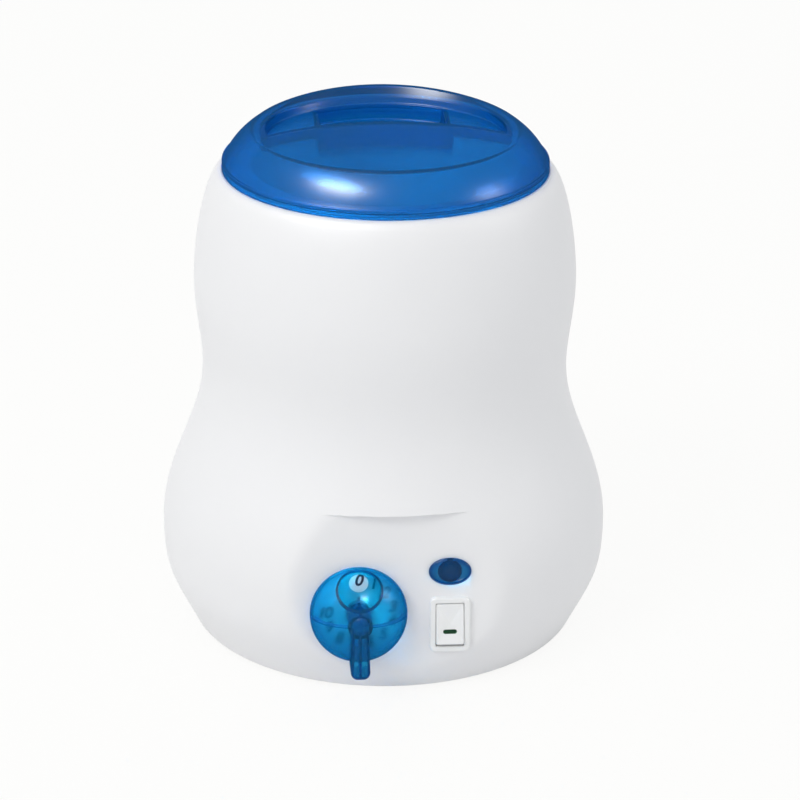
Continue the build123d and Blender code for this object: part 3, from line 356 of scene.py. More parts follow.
# Support posts, heat shield and the small metalwork under the well, as made in the CAD.
# Plated steel posts, a galvanised sheet shield, and screws, nuts and clips in the same zinc.
def dress(look, *names):
    """Gives CAD nodes that are right as they are their own finish."""
    for name in names:
        for slot in nodes[name].material_slots:
            slot.material = look


galvanised = drawn("galvanised_sheet", (0.6, 0.61, 0.62), (0.47, 0.48, 0.5), 0.42, (1, 8, 1), 260.0)
dress(galvanised, "heat_shield", "support_posts")
dress(zinc, "clamp_screws", "terminal_screws", "thermostat_screws", "stud_nuts", "bulb_clip")
brass = drawn("stamped_brass", (0.76, 0.56, 0.24), (0.62, 0.43, 0.17), 0.28, (6, 1, 1))
dress(brass, "thermostat_tabs", "cutout_tabs", "switch_tabs")
copper = drawn("copper_bulb", (0.78, 0.43, 0.27), (0.62, 0.32, 0.2), 0.3)
dress(copper, "sensor_bulb")
thermoset = moulded("dull_thermoset", (0.06, 0.06, 0.062), (0.045, 0.045, 0.046), 0.55)
dress(thermoset, "thermostat", "thermal_cutout", "lamp_socket", "terminal_block", "cord_clamp")


# Leads inside the base: stranded copper in silicone sleeving, brown for the live side, blue for neutral.
def sleeved(name, colour):
    """Soft sleeving, a little darker in patches."""
    return moulded(name, colour, tuple(c * 0.75 for c in colour), 0.42, 0.000015, 900.0)


brown = sleeved("brown_sleeving", (0.2, 0.085, 0.04))
dress(brown, "live_lead", "switch_lead", "thermostat_lead", "cutout_lead")
dress(sleeved("blue_sleeving", (0.03, 0.14, 0.42)), "neutral_lead")

# Cord gland: a turned flange outside, a threaded neck through the rear half and a six-sided nut inside.
# White nylon, a little shinier than the casing.
nylon = moulded("white_nylon", (0.8, 0.8, 0.78), (0.74, 0.74, 0.72), 0.42)
refined("cord_gland", "gland_bush", nylon, "root")
dress(nylon, "gland_nut", "lamp_nut")


# Heated well, its heater mat and its insulation: spun aluminium, with the mat bonded round the
# wall and a jacket of needled glass fibre round that.
def spun(name, colour, dull, roughness, metallic=1.0):
    """Metal turned on its axis, with fine rings round it."""
    look = finish(name)
    x, y, z = [look.node("SeparateXYZ", None, {0: look.place()}, axis) for axis in range(3)]
    radius = (x * x + y * y) ** 0.5
    rings = look.node("CombineXYZ", None, {0: radius, 1: z, 2: 0.0})
    fine = look.noise(5200.0, where=rings)
    broad = look.noise(420.0, where=rings)
    cloud = look.noise(22.0, 3.0)
    inputs = {
        "Base Color": look.blend(cloud, colour, dull),
        "Metallic": metallic,
        "Roughness": fine * 0.1 + broad * 0.12 + (roughness - 0.1),
        "Normal": look.bump(fine + broad * 0.6, 0.000006),
    }
    return look.close(look.node("BsdfPrincipled", None, inputs))


well_metal = spun("spun_aluminium", (0.74, 0.74, 0.75), (0.66, 0.66, 0.67), 0.36)
refined("heating_well", "spun_well", well_metal, "root")

mat_look = finish("heater_silicone_cloth")
weave = {"Vector": mat_look.place(), "Scale": 420.0, "Distortion": 0.4}
warp = mat_look.node("TexWave", {"bands_direction": "Z"}, weave, "Fac")
weft = mat_look.node("TexWave", {"bands_direction": "X"}, weave, "Fac")
cloth = warp * weft
mat_inputs = {
    "Base Color": mat_look.blend(cloth, (0.5, 0.12, 0.045), (0.66, 0.19, 0.075)),
    "Roughness": cloth * 0.15 + 0.5,
    "Normal": mat_look.bump(cloth, 0.00012),
}
dress(mat_look.close(mat_look.node("BsdfPrincipled", None, mat_inputs)), "heater_mat")

wool_look = finish("needled_glass_fibre")
fibre = wool_look.noise(1500.0, 8.0)
tuft = wool_look.noise(120.0, 4.0)
wool_inputs = {
    "Base Color": wool_look.blend(tuft, (0.84, 0.82, 0.74), (0.7, 0.66, 0.55)),
    "Roughness": fibre * 0.1 + 0.88,
    "Normal": wool_look.bump(fibre + tuft * 2.0, 0.0006),
}
dress(wool_look.close(wool_look.node("BsdfPrincipled", None, wool_inputs)), "insulation_jacket")

# Wax pot: a drawn aluminium can with a satin face, which holds the wax and lifts out.
# It hangs by its flat flange on the well's flange.
pot_metal = spun("satin_aluminium", (0.82, 0.82, 0.83), (0.76, 0.76, 0.77), 0.4, 0.8)
refined("wax_pot", "drawn_pot", pot_metal, "wax_pot")

# Top collar: a white ring dropped into the casing's mouth, hooked under its lip. It carries the well
# and just shows as a white line round the lid's edge.
collar_white = moulded("collar_white_plastic", (0.84, 0.84, 0.835), (0.8, 0.8, 0.795), 0.4)
refined("top_collar", "mouth_ring", collar_white, "root")

# Casing: two white halves moulded with the same satin skin, joined on a fine line down each side.
# Four smooth curves make its waisted outline, cut at the front by a leaning flat for the controls.
outline = (
    ((75.8, 1.5), (85.4, 21.5), (86.8, 21.2), (86.8, 38.8)),
    ((86.8, 38.8), (86.8, 62.5), (70.2, 79.8), (70.2, 105.5)),
    ((70.2, 105.5), (70.2, 115.8), (72.9, 126.7), (72.9, 138.5)),
    ((72.9, 138.5), (72.9, 153.8), (68.4, 180.8), (61.9, 181.9)),
)
casing_wall = 2.6
row_pitch, edge_pitch, ledge_pitch = 1.7, 0.45, 0.24
edge_low, edge_high = 3.5, 179
column_count = 200
ring_count = 96
face_reach = 74.1
face_top = 73.0
face_lean = radians(5.5)
face_side = 0.3
ledge_height = 1.9
ledge_depth = 9.0
ledge_low, ledge_high = face_top - 2.6, face_top + 1.8
edge_softness = 1.5
lip_low = 177.3
lip = ((61.83, 181.85), (61.83, 179.72), (61.6, 179.68), (59.7, 179.68), (59.5, 179.5), (59.5, lip_low))
joint_groove = {90: 0.24, 89.85: 0.1}
joint_gap = 0.03


def smooth(value):
    """Rises from 0 to 1 without a kink at either end."""
    value = min(1.0, max(0.0, value))
    return value * value * (3 - 2 * value)


def along_curve(curve, t):
    """A point on a curve with four control points."""
    a, b, c, d = (1 - t) ** 3, 3 * t * (1 - t) ** 2, 3 * t * t * (1 - t), t**3
    return tuple(a * p + b * q + c * r + d * s for p, q, r, s in zip(*curve))


def casing_rows():
    """Radius and height of each row of points up the casing, closest together at the ledge."""
    fine = [along_curve(curve, step / 500) for curve in outline for step in range(500)]
    rows = [fine[0]]
    for radius, height in fine[1:]:
        pitch = row_pitch
        if ledge_low < height < ledge_high:
            pitch = ledge_pitch
        elif height > edge_high or height < edge_low:
            pitch = edge_pitch
        if hypot(radius - rows[-1][0], height - rows[-1][1]) >= pitch:
            rows.append((radius, height))
    return rows + [outline[-1][-1]]


def casing_reach(radius, height, angle):
    """Reach of the casing's skin at an angle from the front, with the flat face blended in."""
    if cos(angle) < face_side:
        return radius
    ledge = ledge_depth * smooth((height - face_top + ledge_height / 2) / ledge_height)
    face = (face_reach + (face_top - height) * sin(face_lean) / cos(face_lean) + ledge) / cos(angle)
    near = max(edge_softness - abs(radius - face), 0.0) / edge_softness
    return min(radius, face) - near * near * edge_softness / 4


def casing_half(front):
    """One half as a closed shell: skin, lip at the mouth and inner wall, with its joint faces."""
    rows = casing_rows()
    between_joints = [-90 + 180 * step / column_count for step in range(1, column_count)]
    angles = [-90, -89.85, -89.7, *between_joints, 89.7, 89.85, 90]
    inner = [row for row in rows[::-1] if row[1] < lip_low][::3] + [rows[0]]
    inner_top = along_curve(outline[3], 0.9)
    points = []
    for degrees in angles:
        angle = radians(degrees)
        groove = joint_groove.get(abs(degrees), 0.0)
        facing = angle if front else pi
        loop = [(casing_reach(r, z, facing) - groove, z) for r, z in rows]
        loop += lip
        loop.append((casing_reach(*inner_top, facing) - casing_wall, lip_low))
        loop += [(casing_reach(r, z, facing) - casing_wall, z) for r, z in inner]
        side = -1 if front else 1
        for reach, height in loop:
            points.append((-side * reach * sin(angle), side * max(reach * cos(angle), joint_gap), height))
    size = len(points) // len(angles)
    faces = [tuple(range(size)), tuple(range(len(points) - size, len(points)))[::-1]]
    for column in range(len(angles) - 1):
        for row in range(size):
            after = (row + 1) % size
            start, end = column * size, (column + 1) * size
            faces.append((start + row, end + row, end + after, start + after))
    return mesh_of("casing_half", points, faces)


def oval(width, length, height, centre=(0.0, 0.0)):
    """A ring of points, width and length its half axes."""
    turn = 2 * pi / ring_count
    x, y = centre
    return [(x + width * cos(turn * s), y + length * sin(turn * s), height) for s in range(ring_count)]


def circle(radius, height, centre=(0.0, 0.0)):
    return oval(radius, radius, height, centre)


def rounded(width, length, corner, height=0.0, centre=(0.0, 0.0), steps=10):
    """A rectangle with rounded corners, as one ring of points."""
    ring = []
    for quarter, (side, end) in enumerate(((1, 1), (-1, 1), (-1, -1), (1, -1))):
        for step in range(steps + 1):
            turn = (quarter + step / steps) * pi / 2
            x = side * (width / 2 - corner) + corner * cos(turn)
            y = end * (length / 2 - corner) + corner * sin(turn)
            ring.append((x + centre[0], y + centre[1], height))
    return ring


def stacked(name, *stacks, place=None):
    """One mesh of closed skins, each through its own stack of rings."""
    points = []
    faces = []
    for rings in stacks:
        count = len(rings[0])
        first = len(points)
        points += [point for ring in rings for point in ring]
        last = len(points) - count
        faces.append(tuple(range(first, first + count))[::-1])
        faces.append(tuple(range(last, last + count)))
        for low in range(first, last, count):
            for step in range(count):
                after = (step + 1) % count
                faces.append((low + step, low + after, low + count + after, low + count + step))
    return mesh_of(name, points, faces, place)


def lifted(ring, height):
    """The same ring at another height."""
    return [(x, y, height) for x, y, z in ring]


def drum(radius, low, high, centre=(0.0, 0.0)):
    """The two rings of a round tool."""
    return [circle(radius, low, centre), circle(radius, high, centre)]


def panel_place(across, drop):
    """Where a point across and down the control face lies, turned to face out of it."""
    turn = Matrix(((1, 0, 0), (0, sin(face_lean), -cos(face_lean)), (0, cos(face_lean), sin(face_lean))))
    origin = Vector((0, -face_reach, face_top)) + turn @ Vector((across, -drop, 0))
    return Matrix.Translation(origin * MM) @ turn.to_4x4()


def carved(mesh, tool, operation="DIFFERENCE"):
    """The mesh after a closed tool is cut from it or joined to it."""
    work = bpy.data.objects.new("work", mesh)
    cutter = bpy.data.objects.new("cutter", tool)
    for holder in (work, cutter):
        bpy.context.scene.collection.objects.link(holder)
    modifier = work.modifiers.new("cut", "BOOLEAN")
    modifier.operation = operation
    modifier.solver = "EXACT"
    modifier.object = cutter
    bpy.context.view_layer.update()
    made = bpy.data.meshes.new_from_object(work.evaluated_get(bpy.context.evaluated_depsgraph_get()))
    bpy.data.objects.remove(work)
    bpy.data.objects.remove(cutter)
    return made


casing_look = finish("satin_white_casing")
swirl = casing_look.noise(9.0)
drift = casing_look.noise(60.0)
skin = casing_look.noise(3800.0)
casing_inputs = {
    "Base Color": casing_look.blend(swirl, (0.845, 0.845, 0.85), (0.83, 0.83, 0.837)),
    "Roughness": drift * 0.06 + 0.5,
    "Normal": casing_look.bump(skin, 0.000012),
    "IOR": 1.5,
    "Specular IOR Level": 0.25,
}
casing_white = casing_look.close(casing_look.node("BsdfPrincipled", None, casing_inputs))

knob_across, knob_drop = -14.1, 39.0
lamp_across, lamp_drop, switch_drop = 19.9, 23.4, 44.3
at_knob = panel_place(knob_across, knob_drop)
lamp_centre = (lamp_across - knob_across, knob_drop - lamp_drop)
switch_centre = (lamp_across - knob_across, knob_drop - switch_drop)
thermostat_screw = 14.0
casing_screw, casing_screw_height = 76.0, 40.0
gland_centre = (0, -18.0)
dial_seat, dial_seat_depth = 17.3, 0.6
shaft_hole, lamp_hole, screw_seat = 4.4, 4.5, 3.05
switch_hole = (13.2, 19.4, 0.3)
gland_seat, gland_hole = 9.25, 6.1
past_face, past_rear = 3.0, 100.0
openings = stacked(
    "openings",
    drum(dial_seat, -dial_seat_depth, past_face),
    drum(lamp_hole, -6.0, past_face, lamp_centre),
    [rounded(*switch_hole, height, switch_centre) for height in (-8.0, past_face)],
    place=at_knob,
)
deep_openings = stacked(
    "deep_openings",
    drum(shaft_hole, -9.0, past_face),
    drum(screw_seat, -2.2, past_face, (thermostat_screw, 0)),
    drum(screw_seat, -2.2, past_face, (-thermostat_screw, 0)),
    place=at_knob,
)
front = carved(carved(casing_half(True), openings), deep_openings)
piece_of("casing_front", front, casing_white, "root", ["front_shell"], angle=50)

backwards = Matrix.Rotation(radians(-90), 4, "X")
rear_recesses = stacked(
    "rear_recesses",
    drum(screw_seat, 12.0, past_rear, (casing_screw, -casing_screw_height)),
    drum(screw_seat, 12.0, past_rear, (-casing_screw, -casing_screw_height)),
    drum(gland_seat, 84.4, past_rear, gland_centre),
    place=backwards,
)
rear_bore = stacked("rear_bore", drum(gland_hole, 70.0, past_rear, gland_centre), place=backwards)
rear = carved(carved(casing_half(False), rear_recesses), rear_bore)
piece_of("casing_rear", rear, casing_white, "root", ["rear_shell"], angle=50)

# Dial plate: a thin white disc set into the flat, with the numbers 0 to 10 printed round it clockwise.
# It hides the thermostat's screws, and the knob's window passes over the numbers.
dial_white = moulded("dial_white_plastic", (0.86, 0.86, 0.86), (0.83, 0.83, 0.83), 0.38)
dial_face = 0.2
dial_reach = 17.2
dial_rings = [
    circle(shaft_hole, -dial_seat_depth),
    circle(dial_reach - 0.1, -dial_seat_depth),
    circle(dial_reach, 0.1 - dial_seat_depth),
    circle(dial_reach, dial_face - 0.12),
    circle(dial_reach - 0.12, dial_face),
    circle(shaft_hole + 0.1, dial_face),
    circle(shaft_hole, dial_face - 0.1),
]


def ringed(name, rings, place=None):
    """A tube-shaped mesh through rings, the last of them joined to the first."""
    count = len(rings[0])
    points = [point for ring in rings for point in ring]
    faces = []
    for row in range(len(rings)):
        low, high = row * count, (row + 1) % len(rings) * count
        for step in range(count):
            after = (step + 1) % count
            faces.append((low + step, low + after, high + after, high + step))
    return mesh_of(name, points, faces, place)


dial_mesh = ringed("dial_shape", dial_rings, at_knob)
piece_of("dial_disc", dial_mesh, dial_white, "root", ["dial_plate"])

ink_look = finish("printing_ink")
ink_cloud = ink_look.noise(900.0)
ink_inputs = {
    "Base Color": ink_look.blend(ink_cloud, (0.004, 0.004, 0.02), (0.012, 0.012, 0.035)),
    "Roughness": ink_cloud * 0.1 + 0.45,
}
ink = ink_look.close(ink_look.node("BsdfPrincipled", None, ink_inputs))
number_circle = 12.6
number_step = radians(27)
number_size = 6.21
number_slant = 0.22
number_spacing = 0.85
number_boldness = 0.16
ink_half = 0.03
ink_lift = 0.035
printed = bmesh.new()
for number in range(11):
    text = bpy.data.curves.new(f"number_{number}", "FONT")
    text.body = str(number)
    text.size = number_size * MM
    text.shear = number_slant
    text.space_character = number_spacing
    text.offset = number_boldness * MM
    text.align_x = "CENTER"
    text.align_y = "CENTER"
    text.extrude = ink_half * MM
    holder = bpy.data.objects.new(text.name, text)
    bpy.context.scene.collection.objects.link(holder)
    bpy.context.view_layer.update()
    letters = bpy.data.meshes.new_from_object(holder.evaluated_get(bpy.context.evaluated_depsgraph_get()))
    bpy.data.objects.remove(holder)
    turn = number * number_step
    centre = Vector((number_circle * sin(turn), number_circle * cos(turn), dial_face + ink_lift)) * MM
    letters.transform(at_knob @ Matrix.Translation(centre))
    printed.from_mesh(letters)
numbers = bpy.data.meshes.new("dial_numbers")
printed.to_mesh(numbers)
printed.free()
piece_of("dial_numbers", numbers, ink, "root", [], angle=40)

# Thermostat shaft: turned steel with a flat, seen faintly through the knob.
# A sprung steel ring grips the knob's hub on it, and both turn with the knob.
turned_steel = drawn("turned_steel", (0.6, 0.6, 0.61), (0.5, 0.5, 0.52), 0.25)
refined("thermostat_shaft", "control_shaft", turned_steel, "knob")
refined("knob_ring", "hub_ring", zinc, "knob")


# Control knob: a hollow dome of clear blue plastic with a dished window, webs, hub and lever in one.
# Soft from inside, so that the plate's numbers show through it blurred, and sharp in the window.
def clear(name, passes, density, body, milk, roughness, gloss=0.12, shine=0.016, shade=1.0):
    """Clear coloured plastic: tinted by its thickness, a little milky, with a soft polish outside."""
    look = finish(name)
    white = (1, 1, 1)
    shadow_tint = (0.88 * shade, 0.95 * shade, 0.98 * shade)
    smear = look.noise(24.0, 3.0)
    skin = look.bump(look.noise(70.0), 0.000006)
    blur = smear * 0.03 + roughness
    bends = {"Roughness": blur, "IOR": 1.47, "Normal": skin}
    into = look.node("BsdfRefraction", None, {"Color": white, **bends})
    cloudy = look.node("BsdfDiffuse", None, {"Color": body, "Normal": skin})
    mixed = look.node("MixShader", None, {0: smear * 0.1 + (milk - 0.05), 1: into, 2: cloudy})
    polish_inputs = {"Color": white, "Roughness": smear * 0.04 + gloss, "Normal": skin}
    polish = look.node("BsdfAnisotropic", None, polish_inputs)
    outside = look.node("MixShader", None, {0: shine, 1: mixed, 2: polish})
    inside = look.node("BsdfPrincipled", None, {"Base Color": white, "Transmission Weight": 1.0, **bends})
    leaving = look.node("NewGeometry", out="Backfacing")
    surface = look.node("MixShader", None, {0: leaving, 1: outside, 2: inside})
    through = look.node("BsdfTransparent", None, {"Color": shadow_tint})
    shadow = look.node("LightPath", out="Is Shadow Ray")
    surface = look.node("MixShader", None, {0: shadow, 1: surface, 2: through})
    volume = look.node("VolumeAbsorption", None, {"Color": passes, "Density": density})
    return look.close(surface, volume)


knob_blue = clear(
    "clear_bright_blue",
    passes=(0.0, 0.86, 0.96),
    density=3000.0,
    body=(0.002, 0.145, 0.32),
    milk=0.36,
    roughness=0.22,
    gloss=0.3,
    shine=0.008,
    shade=0.5,
)
knob_reach = 18.1
knob_low = 0.6
knob_shoulder = 1.8
knob_dome_rise = 14.5
knob_skin = 1.1
dish_centre = (0.0, 12.4)
dish_level = 9.5
dish_reach = 8.0
dish_skin = 0.65
window_centre = (0.0, 12.2)
window_reach = 3.6
hub_reach = 4.45
hub_bore = 3.15
hub_low, hub_high = 0.9, 15.0
bore_end = 14.2
rib_half = 0.35
web_half = 0.5
web_low = 2.5
past_top = 20.0
past_back = -1.0
lever_end = 21.0
lever_neck, lever_tip, lever_corner = 2.9, 3.6, 2.6
lever_low, lever_high = 4.0, 17.0
lever_fall = 1.45
lever_skin = 1.3


def knob_dome(inset, low):
    """Half an ellipsoid on a straight skirt, drawn in by inset, as a closed solid."""
    reach, rise, steps = knob_reach - inset, knob_dome_rise - inset, 45
    turns = [step / steps * pi / 2 for step in range(1, steps)]
    rings = [circle(reach, low), circle(reach, knob_shoulder)]
    rings += [circle(reach * cos(turn), knob_shoulder + rise * sin(turn)) for turn in turns]
    return stacked("knob_dome", rings)


def ball(radius, height, centre):
    """A closed ball."""
    turns = [(step / 40 - 0.5) * pi for step in range(1, 40)]
    return stacked("ball", [circle(radius * cos(t), height + radius * sin(t), centre) for t in turns])


def block(x_half, y_low, y_high):
    """A closed block, from the webs' low edge to above the knob."""
    ring = [(-x_half, y_low), (x_half, y_low), (x_half, y_high), (-x_half, y_high)]
    return stacked("block", [[(x, y, z) for x, y in ring] for z in (web_low, past_top)])


def lever_top(y):
    """Height of the lever's top, which falls a little towards its end."""
    return lever_high - lever_fall * (hub_reach - y) / (hub_reach + lever_end)


def lever_ring(inset):
    """The lever's outline from the front: round at the hub, wider and round-cornered at its end."""
    neck, end = lever_neck - inset, lever_tip - inset
    corner = max(lever_corner - inset, 0.4)
    ring = [(neck * cos(pi * s / 16), 1.4 + neck * sin(pi * s / 16)) for s in range(17)]
    for side, start in ((-1, pi), (1, 1.5 * pi)):
        x, y = side * (end - corner), corner + inset - lever_end
        turns = [start + s / 8 * pi / 2 for s in range(9)]
        ring += [(x + corner * cos(t), y + corner * sin(t)) for t in turns]
    return ring


lever_rings = [[(x, y, lever_low) for x, y in lever_ring(0.0)]]
for inset, drop in ((0.0, 1.5), (0.12, 0.85), (0.4, 0.38), (0.85, 0.1), (1.4, 0.0), (2.4, 0.0)):
    lever_rings.append([(x, y, lever_top(y) - drop) for x, y in lever_ring(inset)])
lever = stacked("lever", lever_rings)
channel_end = 1.2 - lever_end
channel = [(0.4, 0.6), (1.75, 0.6), (2.5, 2.0 - lever_end), (1.9, channel_end), (0.4, channel_end)]
for side in (-1, 1):
    opening = [(side * x, y, 0.0) for x, y in channel]
    roof = [(side * x, y, lever_top(y) - lever_skin) for x, y in channel]
    lever = carved(lever, stacked("channel", [opening, roof]))

inner_dome = knob_dome(0.6, knob_low)
cup = ball(dish_reach + dish_skin, dish_level, dish_centre)
cup = carved(cup, knob_dome(0.02, knob_low), "INTERSECT")
rib = carved(block(knob_reach, -rib_half, rib_half), inner_dome, "INTERSECT")
rib = carved(rib, knob_dome(knob_skin + 1.4, past_back))
web = carved(block(web_half, 0.0, dish_centre[1] - 2.0), inner_dome, "INTERSECT")
hub_rings = [
    circle(hub_reach, hub_low),
    circle(hub_reach, hub_high),
    circle(hub_bore, hub_high),
    circle(hub_bore, 13.8),
    circle(hub_bore, hub_low),
]
knob_mesh = carved(knob_dome(0.0, knob_low), knob_dome(knob_skin, past_back))
for added in (cup, rib, web, ringed("hub", hub_rings), lever):
    knob_mesh = carved(knob_mesh, added, "UNION")
for taken in (
    stacked("bore", drum(hub_bore, past_back, bore_end)),
    ball(dish_reach, dish_level, dish_centre),
    stacked("window", drum(window_reach, past_back, dish_level, window_centre)),
):
    knob_mesh = carved(knob_mesh, taken)
knob_mesh.transform(at_knob)
piece_of("dial_knob", knob_mesh, knob_blue, "knob", ["knob"], angle=30)

# Indicator lamp: a neon bulb in its socket behind a dished oval lens of deep blue plastic.
# The lens has a raised edge and a raised round middle, and its sleeve passes through the flat.
lens_blue = clear(
    "clear_deep_blue",
    passes=(0.0, 0.72, 0.85),
    density=4500.0,
    body=(0.006, 0.08, 0.24),
    milk=0.5,
    roughness=0.03,
    gloss=0.14,
    shine=0.012,
    shade=0.8,
)
glass = clear(
    "clear_glass",
    passes=(0.97, 0.98, 0.97),
    density=20.0,
    body=(0.9, 0.9, 0.9),
    milk=0.06,
    roughness=0.0,
    gloss=0.02,
    shine=0.04,
)
lens_profile = (
    (0.05, 0.05, -0.05),
    (3.2, 3.2, -0.05),
    (3.4, 3.4, -0.3),
    (3.4, 3.4, -12.0),
    (4.4, 4.4, -12.0),
    (4.4, 4.4, -0.25),
    (4.5, 4.5, -0.05),
    (7.85, 5.2, 0.0),
    (7.9, 5.25, 0.12),
    (7.9, 5.25, 0.95),
    (7.82, 5.17, 1.22),
    (7.6, 4.95, 1.38),
    (7.35, 4.7, 1.4),
    (7.15, 4.5, 1.33),
    (7.02, 4.38, 1.12),
    (6.9, 4.28, 0.72),
    (6.5, 4.1, 0.54),
    (5.2, 3.75, 0.46),
    (3.6, 3.3, 0.46),
    (3.15, 3.1, 0.52),
    (3.02, 3.0, 0.75),
    (2.98, 2.97, 1.1),
    (2.85, 2.85, 1.27),
    (2.55, 2.55, 1.34),
    (1.4, 1.4, 1.36),
    (0.05, 0.05, 1.36),
)
lens_rings = [oval(*row) for row in lens_profile]
lens_mesh = stacked("lens_shape", lens_rings, place=panel_place(lamp_across, lamp_drop))
piece_of("oval_lens", lens_mesh, lens_blue, "root", ["lamp_lens"], angle=40)
refined("neon_bulb", "neon_glass", glass, "root")

# Rocker switch: a white bezel and housing in one, clipped into the flat, and a rocker on two pins.
# Satin plastic, a touch brighter and smoother than the casing. A dark green lens fills the rocker's slot.
switch_white = moulded("switch_white_plastic", (0.86, 0.865, 0.86), (0.84, 0.845, 0.84), 0.32, 0.000008)
at_switch = panel_place(lamp_across, switch_drop)
housing_rings = [
    rounded(10.9, 17.2, 0.5, -9.0),
    rounded(10.9, 17.2, 0.5, 0.6),
    rounded(10.62, 17.2, 0.5, 0.9),
    rounded(10.62, 17.2, 0.5, 1.5),
    rounded(10.72, 17.3, 0.55, 1.72),
    rounded(11.1, 17.65, 0.75, 1.93),
    rounded(11.9, 18.2, 1.0, 2.0),
    rounded(14.0, 20.4, 1.9, 2.0),
    rounded(14.6, 21.0, 2.15, 1.9),
    rounded(15.0, 21.4, 2.3, 1.62),
    rounded(15.2, 21.6, 2.4, 1.2),
    rounded(15.2, 21.6, 2.4, 0.0),
    rounded(13.0, 19.2, 0.4, -0.001),
    rounded(13.0, 19.2, 0.4, -20.0),
]
housing_mesh = stacked("housing_shape", housing_rings, place=at_switch)
piece_of("switch_bezel", housing_mesh, switch_white, "root", ["switch_housing"], angle=45)


rocker_width, rocker_length = 10.4, 15.8
rocker_base, rocker_middle = -3.5, 1.5
rocker_bend, bend_reach, bend_softness = 1.1, 6.15, 2.0
rocker_rest = radians(-7)
rocker_corner, top_corner = 0.6, 0.35
top_inset = 0.8


def rocker_height(y):
    """Height of the rocker's shallow bend, softened at its middle."""
    return rocker_middle + rocker_bend * (sqrt(y * y + bend_softness**2) - bend_softness) / bend_reach


rocker_rings = [rounded(rocker_width, rocker_length, rocker_corner, rocker_base)]
for inset, drop in ((0.0, 0.55), (0.06, 0.3), (0.2, 0.1), (0.42, 0.0), (top_inset, 0.0)):
    corner = max(top_corner, rocker_corner - inset / 2)
    ring = rounded(rocker_width - 2 * inset, rocker_length - 2 * inset, corner)
    rocker_rings.append([(x, y, rocker_height(y) - drop) for x, y, z in ring])
top_width, top_length = rocker_width - 2 * top_inset, rocker_length - 2 * top_inset
for share in (0.8, 0.6, 0.4, 0.2, 0.03):
    ring = rounded(top_width * share, top_length * share, top_corner * share)
    rocker_rings.append([(x, y, rocker_height(y)) for x, y, z in ring])
pins = Vector((0, 0, -2.0)) * MM
tilt = Matrix.Translation(pins) @ Matrix.Rotation(rocker_rest, 4, "X") @ Matrix.Translation(-pins)
slot_ring = rounded(5.2, 1.6, 0.795, 0.95, (0, -3.0))
slot_tool = stacked("slot_tool", [slot_ring, lifted(slot_ring, 4.0)], place=at_switch @ tilt)
rocker_mesh = carved(stacked("rocker_shape", rocker_rings, place=at_switch @ tilt), slot_tool)
piece_of("rocker_key", rocker_mesh, switch_white, "rocker", ["rocker"], angle=40)
lens_green = clear(
    "clear_dark_green",
    passes=(0.05, 0.75, 0.35),
    density=6000.0,
    body=(0.0, 0.06, 0.025),
    milk=0.5,
    roughness=0.08,
)
refined("rocker_lens", "green_window", lens_green, "rocker")

# Lid: one thin moulding of clear deep blue plastic. A low dome rises to a crest at the back, behind a
# curved lip lies a shallow hollow, and in that a deep grip for the fingers. It rests on the pot's flange.
lid_blue = clear(
    "clear_lid_blue",
    passes=(0.0, 0.765, 0.905),
    density=1650.0,
    body=(0.003, 0.123, 0.375),
    milk=0.5,
    roughness=0.1,
    gloss=0.27,
    shine=0.011,
)
lid_wall = 2.0
lid_low = 182.0
lid_top = 197.0
rim_reach, rim_high = 61.6, 185.7
flank_bow = 4.0
crest_reach = 50.7
top_reach = 49.7
hollow_reach, hollow_depth = 45.2, 4.2
grip_half, grip_depth = 23.5, 10.5
lip_middle, lip_half, lip_sagitta = 8.7, 45.0, 15.7
lip_radius = (lip_half**2 + lip_sagitta**2) / (2 * lip_sagitta)


def crest_rise(y):
    """How much higher than the rest the crest is towards the back."""
    return 2.0 * max(0.0, y / 50.0) ** 3


def lid_spread(wall):
    """Where columns run across the top, from side to side, closest together beside the grip."""
    steep = (-0.9, -0.5, -0.25, -0.1, -0.03, 0.03, 0.1, 0.25, 0.5, 0.9)
    edges = [grip_half + wall + offset for offset in steep]
    middle = [edges[0] * step / 24 for step in range(1, 24)]
    reach = top_reach - 0.5 * wall
    turn = asin(edges[-1] / reach)
    outer = [reach * sin(turn + (pi / 2 - turn) * step / 40) for step in range(1, 41)]
    halfway = middle + edges + outer
    return [-x for x in halfway[::-1]] + [0.0] + halfway


def lid_flank(wall, around):
    """Rings up the rim and the flank and over the crest."""
    inner = wall > 0
    rim = rim_reach - wall
    rim_top = rim_high - wall
    shoulder = rim - 0.7
    crest_out = crest_reach - wall / 2
    crest = lid_top - wall
    reach = top_reach - 0.5 * wall
    profile = [(rim, lid_low), (rim, rim_top - 0.35), (rim - 0.1, rim_top - 0.1), (rim - 0.35, rim_top)]
    profile += [(shoulder + 0.12, rim_top + 0.02), (shoulder, rim_top + 0.15)]
    run, lift = crest_out - shoulder, crest - rim_top
    length = hypot(run, lift)
    for step in range(1, 16):
        share = step / 16
        bow = flank_bow * share * (1 - share)
        out = shoulder + run * share + bow * lift / length
        profile.append((out, rim_top + lift * share - bow * run / length))
    rings = [[(radius * x, radius * y, height) for x, y in around] for radius, height in profile]
    low_edge = ((0.2, -0.12), (-0.1, -0.02), (-0.4, 0.0), (-0.7, 0.0))
    high_edge = ((-0.05, 0.45), (-0.15, 0.85), (-0.38, 0.975), (-0.7, 1.0))
    for (r_low, z_low), (r_high, z_high) in zip(low_edge, high_edge):
        ring = []
        for x, y in around:
            rise = 0.0 if inner else crest_rise(reach * y)
            share = smooth(rise / 0.6)
            radius = crest_out + r_low * (1 - share) + r_high * share
            ring.append((radius * x, radius * y, crest + z_low * (1 - share) + rise * z_high))
        rings.append(ring)
    rings.append([(reach * x, reach * y, crest + (0 if inner else crest_rise(reach * y))) for x, y in around])
    return rings


